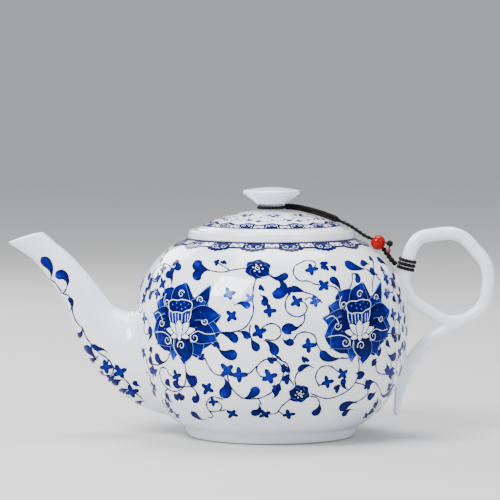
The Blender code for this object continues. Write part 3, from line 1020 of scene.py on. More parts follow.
class Spout:
    """The swan-neck spout, flared where it grows out of the belly."""

    def __init__(self, pot: Pot, size: SpoutSize = SpoutSize()) -> None:
        """Keeps the sizes and the pot it stands on."""
        self.pot, self.size = pot, size
        s = np.array(size.stations)
        knots = np.vstack([2 * s[0] - s[1], s, 2 * s[-1] - s[-2]])
        line = []
        for a, b, c, d in zip(knots, knots[1:], knots[2:], knots[3:]):
            line += [between(a, b, c, d, t) for t in np.arange(size.steps) / size.steps]
        self.line = np.array(line + [knots[-2]])

    def ring(self, i: int, shrink: float, back: float = 0.0) -> Array:
        """One ring of the skin.

        Args:
            i: which sample of the middle line.
            shrink: how far inside the outer face.
            back: how far short of its place, along the spout.

        Returns:
            An array of points round the pot's axis.
        """
        last = len(self.line) - 1
        here = self.line[i]
        way = self.line[min(i + 1, last)][:2] - self.line[max(i - 1, 0)][:2]
        way /= np.linalg.norm(way)
        across = np.array([way[1], -way[0]])
        slope = self.size.lip_slope
        slant = smoothstep((i / last - 0.80) / 0.20) * (
            -(across[0] * math.sin(slope) - across[1] * math.cos(slope))
            / (way[0] * math.sin(slope) - way[1] * math.cos(slope))
        )
        ring = []
        for k in range(self.size.sides):
            angle = 2 * math.pi * k / self.size.sides
            up = (here[2] - shrink) * math.cos(angle)
            point = here[:2] + across * up + way * (up * slant - back)
            ring.append((point[0], (here[3] - shrink) * math.sin(angle), point[1]))
        return np.array(ring)

    def fillet(self, rings: list, k: int) -> tuple:
        """The flare of one side line where it meets the belly.

        Args:
            rings: the outer rings from root to lip.
            k: which side line.

        Returns:
            The index of the first ring kept, and the flare's points from the belly upward.
        """
        line = [Vector(ring[k]) for ring in rings]
        first = next(i for i, p in enumerate(line) if self.pot.clear_of(p) > 0)
        low, high = line[first - 1], line[first]
        share = -self.pot.clear_of(low) / (self.pot.clear_of(high) - self.pot.clear_of(low))
        foot = low.lerp(high, share)
        tilt = math.cos(2 * math.pi * k / self.size.sides)
        end = self.size.top_fillet if tilt > 0 else self.size.low_fillet
        reach = self.size.side_fillet + (end - self.size.side_fillet) * tilt * tilt
        start, walked = first, (line[first] - foot).length
        while walked < reach:
            start += 1
            walked += (line[start] - line[start - 1]).length
        centre = Vector(np.mean(rings[first], axis=0))
        out = (foot - centre).normalized()
        flat = Vector((foot.x, foot.y, 0)).normalized()
        out -= flat * out.dot(flat)
        far = self.pot.onto(foot + out.normalized() * reach, -0.00006)
        top = line[start]
        flare = [
            far * (1 - t) ** 2 + foot * 2 * t * (1 - t) + top * t * t for t in [i / 10 for i in range(10)]
        ]
        return start, flare

    def build(self, shop: Workshop, palette: Palette) -> Obj:
        """Lofts the skin, its rounded lip and its bore."""
        last = len(self.line) - 1
        outer = [self.ring(i, 0.0) for i in range(last)] + [self.ring(last, 0.0, self.size.lip_round)]
        made = [self.fillet(outer, k) for k in range(self.size.sides)]
        start = max(first for first, _ in made)
        rows = []
        for step in range(10):
            rows.append([made[k][1][step] for k in range(self.size.sides)])
        spare = start - min(first for first, _ in made) + 1
        for step in range(spare):
            row = []
            for k, (first, _) in enumerate(made):
                place = first + (start - first) * step / spare
                low = int(place)
                row.append(Vector(outer[low][k]).lerp(Vector(outer[min(low + 1, last)][k]), place - low))
            rows.append(row)
        rows += [outer[i] for i in range(start, last + 1)]
        half = self.size.wall / 2
        for step in range(1, 8):
            angle = math.pi * step / 8
            back = self.size.lip_round * (1 - math.sin(angle))
            rows.append(self.ring(last, half * (1 - math.cos(angle)), back))
        rows.append(self.ring(last, self.size.wall, self.size.lip_round))
        rows += [self.ring(i, self.size.wall) for i in range(last - 2, 8, -2)]
        spout = shop.grid("spout_glazed", [[tuple(p) for p in row] for row in rows], closed_rows=False)
        return shop.deliver(spout, Part.POT, Slot.PORCELAIN, palette.glaze, "spout")


@dataclass(frozen=True)
class HandleSize:
    """The pierced ring and the strut that runs down the belly, as corners in the upright plane."""

    width: float = 0.0062
    depth: float = 0.0084
    bend: float = 0.0075
    squareness: float = 2.6
    ring: tuple = (
        (0.0616, 0.0735), (0.0656, 0.0884), (0.0697, 0.0934), (0.088, 0.0959), (0.103, 0.079),
        (0.1, 0.0589), (0.0851, 0.0514), (0.0657, 0.0636),
    )
    strut: tuple = (
        (0.088, 0.0532), (0.074, 0.0446), (0.0674, 0.0374), (0.0636, 0.0298), (0.0612, 0.0235),
        (0.0596, 0.0175), (0.0589, 0.0105),
    )
    tail_share: float = 0.55
    voxel: float = 0.0005
    melt: int = 14


class Handle:
    """The angular pierced handle, melted into the belly where they touch."""

    def __init__(self, pot: Pot, size: HandleSize = HandleSize()) -> None:
        """Keeps the sizes and the pot it stands on."""
        self.pot, self.size = pot, size

    def post(self, height: float) -> tuple:
        """The post's middle point at a height and its upward direction, as (x, z) vectors."""
        foot, top = Vector(self.size.ring[0]), Vector(self.size.ring[1])
        return foot.lerp(top, (height - foot.y) / (top.y - foot.y)), (top - foot).normalized()

    def saddle(self, shop: Workshop) -> Obj:
        """A thin sheet just under the belly's face behind the handle, for the joins to melt into."""
        face = [p for p in self.pot.belly() if 0.012 < p[1] < 0.084]
        outer, inner = beside(face, 0.00022), beside(face, 0.0024)
        rows = []
        for angle in np.radians(np.linspace(-15, 15, 25)):
            loop = outer + inner[::-1]
            rows.append([(r * math.cos(angle), r * math.sin(angle), z) for r, z in loop])
        return self.capped(shop.grid("handle_saddle", rows, closed_rows=False))

    @staticmethod
    def capped(obj: Obj) -> Obj:
        """Closes a grid's open ends.

        Args:
            obj: the grid.

        Returns:
            The same object.
        """
        bpy.ops.object.mode_set(mode="EDIT")
        bpy.ops.mesh.select_all(action="DESELECT")
        bpy.ops.mesh.select_non_manifold()
        bpy.ops.mesh.edge_face_add()
        bpy.ops.mesh.select_all(action="SELECT")
        bpy.ops.mesh.quads_convert_to_tris()
        bpy.ops.mesh.normals_make_consistent(inside=False)
        bpy.ops.object.mode_set(mode="OBJECT")
        return obj

    def bar(self, path: Points, shares: Sequence, closed: bool) -> list:
        """Rounded-square rings along a path in the upright plane.

        Args:
            path: pairs that the bar's middle follows.
            shares: the section's scale at each point.
            closed: whether the path is a loop.

        Returns:
            A list of rings of points.
        """
        s, rings, count = self.size, [], len(path)
        for i, (point, share) in enumerate(zip(path, shares)):
            after = path[(i + 1) % count] if closed else path[min(i + 1, count - 1)]
            before = path[i - 1] if closed else path[max(i - 1, 0)]
            way = (Vector(after) - Vector(before)).normalized()
            section = squircle(36, s.width / 2 * share, s.depth / 2 * share, s.squareness)
            rings.append([(point[0] - way.y * u, v, point[1] + way.x * u) for u, v in section])
        return rings

    def build(self, shop: Workshop, palette: Palette) -> Obj:
        """Sweeps the ring and the strut, melts the joins and trims what lies inside the wall."""
        s = self.size
        path = eased(s.ring, s.bend, True)
        ring = shop.grid("handle_ring", self.bar(path, [1.0] * len(path), True))
        path = eased(s.strut, s.bend)
        shares = [
            1 - (1 - s.tail_share) * max(0.0, (i / (len(path) - 1) - 0.55) / 0.45) for i in range(len(path))
        ]
        end, way = Vector(path[-1]), (Vector(path[-1]) - Vector(path[-2])).normalized()
        tip = s.width / 2 * s.tail_share
        for angle in np.linspace(0, math.pi / 2, 6)[1:]:
            path.append(tuple(end + way * tip * math.sin(angle)))
            shares.append(s.tail_share * max(0.06, math.cos(angle)))
        strut = self.capped(shop.grid("handle_strut", self.bar(path, shares, False), closed_rows=False))
        handle = shop.join("handle_glazed", [ring, strut, self.saddle(shop)])
        shop.modify(handle, "REMESH", mode="VOXEL", voxel_size=s.voxel)
        shop.modify(handle, "SMOOTH", factor=0.5, iterations=s.melt)
        self.trim(shop, handle)
        bpy.ops.object.shade_smooth()
        return shop.deliver(handle, Part.POT, Slot.PORCELAIN, palette.glaze, "handle")

    def trim(self, shop: Workshop, handle: Obj) -> None:
        """Removes the faces that lie inside the pot's wall.

        Args:
            shop: the workshop.
            handle: the handle's mesh object.
        """
        mesh = bmesh.new()
        mesh.from_mesh(handle.data)
        buried = [
            v for v in mesh.verts if self.pot.clear_of((v.co.x - shop.axis_x, v.co.y, v.co.z)) < -0.0004
        ]
        bmesh.ops.delete(mesh, geom=buried, context="VERTS")
        mesh.to_mesh(handle.data)
        mesh.free()


@dataclass(frozen=True)
class LidSize:
    """Sizes of the lid, from its flange to its crown."""

    rim_radius: float = 0.0394
    rim_draft: float = 0.0010
    rim_thickness: float = 0.0039
    rim_round: float = 0.0008
    dome_foot: float = 0.0346
    dome_round: float = 0.0022
    dome_crown: float = 0.0750
    dome_rise: float = 0.0092
    wall: float = 0.0028
    flange_depth: float = 0.0070
    flange_play: float = 0.0016
    flange_draft: float = 0.0016
    flange_wall: float = 0.0026
    vent_hole: float = 0.0026
    vent_radius: float = 0.0200
    gap: float = 0.0003
    steps: int = 160


class Lid:
    """The domed lid with its thick white rim."""

    def __init__(self, pot: Pot, size: LidSize = LidSize()) -> None:
        """Keeps the sizes and the levels above the pot's seat."""
        self.pot, self.size = pot, size
        self.rim_bottom = pot.size.seat_height + size.gap
        self.rim_top = self.rim_bottom + size.rim_thickness
        self.crown = self.rim_top + size.dome_rise
        self.skin = Skin(list(reversed(self.dome(0.0))))

    def dome(self, shrink: float, count: int = 40) -> list:
        """The dome's face from the crown to its foot, shrunk inside its outer face.

        Args:
            shrink: how far inside the outer face.
            count: how many points it has.

        Returns:
            A list of (radius, height) pairs.
        """
        s = self.size
        reach = math.asin((s.dome_foot - s.dome_round) / s.dome_crown)
        angles = np.linspace(0, reach, count)
        radius = s.dome_crown - shrink
        return [(radius * math.sin(a), self.crown - s.dome_crown + radius * math.cos(a)) for a in angles]

    def build(self, shop: Workshop, palette: Palette) -> Obj:
        """Turns the lid and bores its vent."""
        s = self.size
        cap = self.dome(0.0)
        foot = cubic(
            cap[-1],
            (cap[-1][0] + s.dome_round * 0.7, cap[-1][1] - s.dome_round * 0.4),
            (s.dome_foot, self.rim_top + s.dome_round * 0.4),
            (s.dome_foot + s.rim_round * 0.6, self.rim_top),
            8,
        )
        top = self.pot.size.mouth_radius - s.flange_play
        low = top - s.flange_draft
        inner = low - s.flange_wall
        level = self.rim_bottom - s.flange_depth
        edge = eased(
            [
                foot[-1], (s.rim_radius - s.rim_draft, self.rim_top), (s.rim_radius, self.rim_bottom),
                (top, self.rim_bottom), (low, level), (inner, level), (inner, self.rim_bottom),
            ],
            s.rim_round,
        )
        hollow = [p for p in reversed(self.dome(s.wall)) if p[0] < inner - s.wall * 0.4]
        lid = shop.spin("lid_glazed", cap + foot[1:] + edge[1:] + hollow, s.steps)
        shop.drill(lid, [(0.0, s.vent_radius, self.crown)], (0, 0, 1), s.vent_hole, s.dome_rise * 3)
        return shop.deliver(lid, Part.LID, Slot.PORCELAIN, palette.glaze, "lid")


@dataclass(frozen=True)
class KnobSize:
    """Sizes of the flared knob."""

    radius: float = 0.0134
    neck_radius: float = 0.0050
    neck_height: float = 0.0020
    sink: float = 0.0006
    collar_radius: float = 0.0074
    collar_height: float = 0.0008
    flare: float = 0.0042
    rim_round: float = 0.0010
    crown: float = 0.0013
    steps: int = 112


class Knob:
    """The flared knob on its narrow neck."""

    def __init__(self, lid: Lid, size: KnobSize = KnobSize()) -> None:
        """Keeps the sizes and the lid it stands on."""
        self.lid, self.size = lid, size
        self.seat = lid.crown + lid.size.gap

    def build(self, shop: Workshop, palette: Palette) -> Obj:
        """Turns the knob, with its foot sunk to the lid's crown."""
        s = self.size
        neck_top = self.seat + s.neck_height
        collar = neck_top + s.collar_height
        brim = collar + s.flare
        low, high = self.seat - s.sink, self.seat + s.sink
        base = [(0.0, low), (s.neck_radius + 0.0005, low), (s.neck_radius, high)]
        neck = eased([base[-1], (s.neck_radius, neck_top), (s.collar_radius, collar)], s.sink)
        side = cubic(
            (s.collar_radius, collar), (s.collar_radius + 0.0008, collar + 0.0012),
            (s.radius - 0.0026, brim - 0.0016), (s.radius - 0.0002, brim + s.rim_round * 0.4), 20,
        )
        centre = (s.radius - s.rim_round, brim + s.rim_round)
        edge = [
            (centre[0] + s.rim_round * math.cos(a), centre[1] + s.rim_round * math.sin(a))
            for a in np.linspace(-0.5, math.pi / 2, 9)
        ]
        rim, top = edge[-1]
        crown = cubic(
            (rim, top),
            (rim * 0.7, top + s.crown * 0.6),
            (rim * 0.35, top + s.crown),
            (0.0, top + s.crown),
            16,
        )
        knob = shop.spin("lid_knob_glazed", base + neck + side[1:] + edge + crown[1:], s.steps)
        return shop.deliver(knob, Part.LID, Slot.PORCELAIN, palette.glaze, "lid_knob")


# ---------------------------------------------------------------- cord


@dataclass(frozen=True)
class CordSize:
    """Routes and thicknesses of the cord between the knob and the handle."""

    loop: float = 0.0015
    braid: float = 0.0028
    strand: float = 0.0012
    spacing: float = 0.0016
    lower: float = 0.0024
    core: float = 0.0018
    braid_route: tuple = (
        (0.0082, 0.0, 0.1074), (0.014, -0.0006, 0.1067), (0.021, -0.0017, 0.105), (0.027, -0.0029, 0.103),
        (0.0315, -0.0039, 0.1012),
    )
    strand_route: tuple = (
        (0.0318, -0.004, 0.101), (0.0362, -0.0052, 0.099), (0.0403, -0.0064, 0.0964),
        (0.0434, -0.0073, 0.0943), (0.0464, -0.0078, 0.0929),
    )
    lower_route: tuple = (
        (0.0524, -0.0078, 0.0879), (0.0543, -0.0076, 0.0852), (0.0563, -0.0071, 0.0825),
        (0.0581, -0.0067, 0.0807),
    )
    tassel_route: tuple = ((0.0551, -0.0102, 0.0907), (0.0546, -0.0105, 0.0874), (0.0549, -0.0106, 0.0851))
    bead: float = 0.0070
    bead_bore: float = 0.0020
    bead_offset: tuple = (0.0004, 0.0, 0.0006)
    button: float = 0.0030
    seed: float = 0.0022
    tail: float = 0.0015
    wrap_turns: int = 3
    wrap: float = 0.0016
    wrap_pitch: float = 0.0019
    wrap_height: float = 0.0803
    gap: float = 0.0003
    # How far along each cord its strands take to wind once round.
    core_lay: float = 0.0046
    lower_lay: float = 0.0042
    loop_lay: float = 0.0050
    braid_lay: float = 0.0040
    strand_lay: float = 0.0026
    wrap_lay: float = 0.0034
    thread: float = 0.0008
    thread_lay: float = 0.0016


class Rope:
    """Lines that wind round a route."""

    def __init__(self, route: Points, spacing: float, closed: bool = False) -> None:
        """Samples the route and carries a pair of side directions along it without twist."""
        self.line = np.array(route, float) if closed else through(route, spacing)
        self.closed = closed
        if closed:
            self.way = np.roll(self.line, -1, 0) - np.roll(self.line, 1, 0)
        else:
            self.way = np.gradient(self.line, axis=0)
        self.way /= np.linalg.norm(self.way, axis=1)[:, None]
        spans = np.linalg.norm(np.diff(self.line, axis=0), axis=1)
        self.length = np.concatenate([[0], np.cumsum(spans)])
        side = np.cross(self.way[0], (0.0, 1.0, 0.0) if abs(self.way[0][1]) < 0.8 else (0.0, 0.0, 1.0))
        self.side = []
        for way in self.way:
            side = side - way * side.dot(way)
            side /= np.linalg.norm(side)
            self.side.append(side)
        self.side = np.array(self.side)
        self.up = np.cross(self.way, self.side)

    def total(self) -> float:
        """The route's length, with its closing span."""
        return self.length[-1] + (np.linalg.norm(self.line[0] - self.line[-1]) if self.closed else 0.0)

    def wound(self, radius: float, strands: int, pitch: float) -> list:
        """Strands laid round the route like a twisted cord.

        Args:
            radius: how far the strands lie from the route.
            strands: how many there are.
            pitch: how far a strand takes to wind once round.

        Returns:
            A list of point lists.
        """
        turns = max(1, round(self.total() / pitch)) if self.closed else self.total() / pitch
        lines = []
        for strand in range(strands):
            phase = 2 * math.pi * (turns * self.length / self.total() + strand / strands)
            lines.append(
                self.line + radius * (np.cos(phase)[:, None] * self.side + np.sin(phase)[:, None] * self.up)
            )
        return [line.tolist() for line in lines]

    def knotted(self, width: float, height: float, pitch: float) -> list:
        """Four strands that cross over one another from knot to knot, as in a snake-knot braid.

        Args:
            width, height: how far the strands swing to the side and up.
            pitch: the length of one knot.

        Returns:
            A list of point lists.
        """
        lines = []
        ease = np.clip(np.minimum(self.length, self.total() - self.length) / 0.0012, 0.3, 1.0)
        width, height = width * ease, height * ease
        for strand in range(4):
            phase = 2 * math.pi * (self.length / pitch + strand / 4)
            lines.append(
                self.line
                + (width * np.sin(phase))[:, None] * self.side
                + (height * np.sin(2 * phase))[:, None] * self.up
            )
        return [line.tolist() for line in lines]


class Tether:
    """The cord that holds the lid: knob loop, braid, strands, bead, knots and the wrap on the handle."""

    def __init__(self, lid: Lid, handle: Handle, size: CordSize = CordSize()) -> None:
        """Keeps the sizes and what the cord is tied to."""
        self.lid, self.handle, self.size = lid, handle, size
        entry, leaving = Vector(size.strand_route[-1]), Vector(size.lower_route[0])
        self.bead_way = (leaving - entry).normalized()
        self.bead_centre = (entry + leaving) / 2 + Vector(size.bead_offset)

    def core_route(self) -> Array:
        """The cord's middle line from the wrap to the knob loop."""
        s = self.size
        points = list(reversed(s.lower_route)) + [tuple(self.bead_centre)]
        points += list(reversed(s.strand_route)) + list(reversed(s.braid_route))[1:]
        return through(points, 0.0008)

    @staticmethod
    def twisted(
        shop: Workshop, name: str, rope: Rope, thickness: float, lay: float, fullness: float,
        resolution: int, strands: int = 2,
    ) -> Obj:
        """A twisted cord.

        Args:
            shop: the workshop.
            name: the object's name.
            rope: the line that the cord follows.
            thickness: the cord's own thickness.
            lay: how far along the cord a strand winds once round.
            fullness: how much thicker a strand is than half the cord.
            resolution: how finely a strand is cut.
            strands: how many strands there are.

        Returns:
            The mesh object.
        """
        lines = rope.wound(thickness / 4, strands, lay)
        return shop.sweep(name, lines, thickness / 2 * fullness, closed=rope.closed, resolution=resolution)

    def core(self, shop: Workshop, palette: Palette) -> tuple:
        """The cord itself, all along its route."""
        s = self.size
        line = self.core_route()
        rope = Rope(line, 0.0008)
        core = self.twisted(shop, "tether_cord", rope, s.core, s.core_lay, 1.05, 3)
        shop.deliver(core, None, Slot.CORD, palette.cord)
        start, end = shop.place(line[0]), shop.place(line[5])
        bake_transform(core)
        return core, line

    def lower(self, shop: Workshop, palette: Palette) -> Obj:
        """The thicker cord from the bead down to the wrap."""
        s = self.size
        rope = Rope(s.lower_route, 0.0003)
        lower = self.twisted(shop, "tether_lower_cord", rope, s.lower, s.lower_lay, 1.06, 4)
        shop.deliver(lower, None, Slot.CORD, palette.cord, "lower_cord")
        start, end = shop.place(s.lower_route[-1]), shop.place(s.lower_route[1])
        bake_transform(lower)
        return lower

    def knot_radius(self) -> float:
        """The radius of the knob loop's middle line."""
        return KnobSize().neck_radius + self.size.gap + self.size.loop / 2

    def loop(self, shop: Workshop, palette: Palette) -> Obj:
        """The braided ring round the knob's neck."""
        s = self.size
        middle = self.lid.crown + self.lid.size.gap + s.loop / 2
        radius = self.knot_radius()
        angles = np.linspace(0, 2 * math.pi, 96, endpoint=False)
        rope = Rope([(radius * math.cos(a), radius * math.sin(a), middle) for a in angles], 0.0, closed=True)
        loop = self.twisted(shop, "knob_loop_twisted", rope, s.loop, s.loop_lay, 1.1, 3, strands=3)
        return shop.deliver(loop, Part.TETHER, Slot.CORD, palette.cord, "knob_loop")

    def braid(self, shop: Workshop, palette: Palette) -> Obj:
        """The snake-knot braid over the dome."""
        s = self.size
        root = (self.knot_radius(), 0.0, self.lid.crown + s.gap + s.loop / 2)
        rope = Rope((root,) + s.braid_route, 0.00018)
        lines = rope.knotted(s.braid * 0.36, s.braid * 0.32, s.braid_lay)
        braid = shop.sweep("tether_braid", lines, s.braid * 0.36, resolution=3)
        return shop.deliver(braid, Part.TETHER, Slot.CORD, palette.cord, "snake_knot_braid")

    def strands(self, shop: Workshop, palette: Palette) -> list:
        """The two thin cords between the braid and the bead, each of two plies."""
        s = self.size
        made = []
        for name, node, side in (("front", "cord_strand_front", -0.5), ("back", "cord_strand_back", 0.5)):
            route = np.array(s.strand_route) + (0.0, side * s.spacing, 0.0)
            rope = Rope(route, 0.0002)
            strand = self.twisted(shop, "tether_strand_" + name, rope, s.strand, s.strand_lay, 1.06, 2)
            made.append(shop.deliver(strand, Part.TETHER, Slot.CORD, palette.cord, node))
        return made

    def stone(self, shop: Workshop, palette: Palette) -> Obj:
        """The red bead with its bore and softened edges."""
        s = self.size
        radius, bore = s.bead / 2, s.bead_bore / 2
        start = math.asin((bore + 0.0002) / radius)
        face = [(radius * math.sin(a), radius * math.cos(a)) for a in np.linspace(start, math.pi - start, 40)]
        ends = [(bore, face[0][1] - 0.0004)], [(bore, face[-1][1] + 0.0004)]
        outline = eased(ends[0] + face + ends[1], 0.0001, True, 2)
        bead = shop.spin("red_bead_polished", outline, 56, closed=True)
        turn = self.bead_way.to_track_quat("Z", "Y").to_matrix()
        for vertex in bead.data.vertices:
            local = vertex.co - Vector((shop.axis_x, 0, 0))
            vertex.co = shop.place(turn @ local + self.bead_centre)
        return shop.deliver(bead, Part.TETHER, Slot.RED_BEAD, palette.red, "red_bead")

    def ball(self, shop: Workshop, name: str, centre: Point, diameter: float, thickness: float) -> Obj:
        """A round knot: three cords that circle a ball, each over the last.

        Args:
            shop: the workshop.
            name: the object's name.
            centre: the knot's middle.
            diameter: its size over all.
            thickness: the cord's thickness.

        Returns:
            The mesh object.
        """
        lines = []
        for axis in ((1, 0.3, 0.2), (0.2, 1, 0.4), (0.3, -0.4, 1)):
            axis = Vector(axis).normalized()
            side = axis.orthogonal().normalized()
            up = axis.cross(side)
            radius = (diameter - thickness) / 2
            line = []
            for a in np.linspace(0, 2 * math.pi, 36, endpoint=False):
                wave = axis * thickness * 0.3 * math.sin(3 * a)
                line.append(tuple(Vector(centre) + radius * (side * math.cos(a) + up * math.sin(a)) + wave))
            lines.append(line)
        return shop.sweep(name, lines, thickness, closed=True, resolution=3)

    def tassel(self, shop: Workshop, palette: Palette) -> list:
        """The button knot beside the bead, its crimson seed, its tail bead and the thread through them."""
        s = self.size
        top, seed, tail = (Vector(p) for p in s.tassel_route)
        button = self.ball(shop, "tether_button_knot", top, s.button, s.button * 0.40)
        shop.deliver(button, Part.TETHER, Slot.CORD, palette.cord, "button_knot")
        made = [button]
        for name, node, place, size, slot, material in (
            ("crimson_seed_bead", "seed_bead", seed, s.seed, Slot.SEED_BEAD, palette.crimson),
            ("tail_bead_dark", "tail_bead", tail, s.tail, Slot.CORD, palette.cord),
        ):
            radius = size / 2
            angles = np.linspace(0.22, math.pi - 0.22, 20)
            face = [(radius * math.sin(a), radius * math.cos(a) * 0.94) for a in angles]
            bore = [(face[-1][0] * 0.8, face[-1][1] * 0.9), (face[0][0] * 0.8, face[0][1] * 0.9)]
            bead = shop.spin(name, face + bore, 32, closed=True)
            for vertex in bead.data.vertices:
                vertex.co += place
            made.append(shop.deliver(bead, Part.TETHER, slot, material, node))
        tip = tail + Vector((0.0002, 0, -0.0022))
        ends = [self.bead_centre, top, (top + seed) / 2, seed, (seed + tail) / 2, tail, tip]
        rope = Rope([tuple(p) for p in ends], 0.0002)
        thread = self.twisted(shop, "tassel_thread", rope, s.thread, s.thread_lay, 1.0, 2)
        made.append(shop.deliver(thread, Part.TETHER, Slot.CORD, palette.cord))
        return made

    def wrap(self, shop: Workshop, palette: Palette) -> None:
        """Three turns of cord round the handle's post."""
        s, h = self.size, self.handle.size
        middle, along = self.handle.post(s.wrap_height)
        across = Vector((along.y, -along.x))
        for turn in range(s.wrap_turns):
            shift = (turn - (s.wrap_turns - 1) / 2) * s.wrap_pitch
            centre = middle + along * shift
            loop = []
            section = squircle(96, h.width / 2 + s.wrap * 0.3, h.depth / 2 + s.wrap * 0.3, h.squareness)
            for u, v in section:
                flat = centre + across * u
                loop.append((flat.x, v, flat.y))
            lines = Rope(loop, 0.0, closed=True).wound(s.wrap / 5, 2, s.wrap_lay)
            ring = shop.sweep(f"handle_wrap_{turn + 1}", lines, s.wrap / 2 * 1.25, closed=True, resolution=3)
            shop.deliver(ring, Part.POT, Slot.CORD, palette.cord, f"handle_wrap_turn_{turn + 1}")

    def build(self, shop: Workshop, palette: Palette) -> None:
        core, line = self.core(shop, palette)
        pieces = [self.lower(shop, palette), self.loop(shop, palette), self.braid(shop, palette)]
        pieces += self.strands(shop, palette) + [self.stone(shop, palette)] + self.tassel(shop, palette)
        self.wrap(shop, palette)
        tuple(shop.place(line[0]))
        [tuple(shop.place(p)) for p in line]


# ---------------------------------------------------------------- painting


@dataclass
class Sheet:
    """Flat marks of one area, sorted by ink, ready to be laid on a surface."""

    points: dict = field(default_factory=lambda: {ink: [] for ink in Ink})
    faces: dict = field(default_factory=lambda: {ink: [] for ink in Ink})
    tones: dict = field(default_factory=lambda: {ink: [] for ink in Ink})
    lifts: dict = field(default_factory=lambda: {ink: [] for ink in Ink})

    def add(self, ink: Ink, points: Points, faces: list, tones: Sequence, layer: int) -> None:
        """Adds one mark.

        Args:
            ink: its Ink.
            points: an array of pairs in millimetres.
            faces: lists of point indices.
            tones: one tone for each point, 0 navy to 1 pale.
            layer: its height in the stack of marks.
        """
        start = sum(len(p) for p in self.points[ink])
        self.points[ink].append(np.array(points, float))
        self.faces[ink] += [[i + start for i in face] for face in faces]
        self.tones[ink] += list(tones)
        self.lifts[ink] += [layer] * len(points)

    def lay(self, shop: Workshop, palette: Palette, name: str, part: Part, surface: Callable) -> list:
        """Turns the marks into thin meshes on a surface.

        Args:
            shop: the workshop.
            palette: the materials.
            name: the stem of the pieces' names.
            part: the body that they ride on.
            surface: a function from flat points and lifts in metres to points round the pot's axis.

        Returns:
            The mesh objects.
        """
        made = []
        for ink in Ink:
            if not self.faces[ink]:
                continue
            flat = np.vstack(self.points[ink])
            lifts = (0.05 + 0.007 * np.array(self.lifts[ink])) * MM
            places = surface(flat, lifts)
            data = bpy.data.meshes.new(name)
            data.from_pydata((places + (shop.axis_x, 0, 0)).tolist(), [], self.faces[ink])
            tone = data.attributes.new("tone", "FLOAT", "POINT")
            tone.data.foreach_set("value", np.array(self.tones[ink], np.float32))
            obj = bpy.data.objects.new(f"{name}_{ink.value}", data)
            bpy.context.scene.collection.objects.link(obj)
            shop.activate(obj)
            bpy.ops.object.shade_smooth()
            made.append(shop.deliver(obj, part, Slot.PORCELAIN, palette.inks[ink]))
        return made


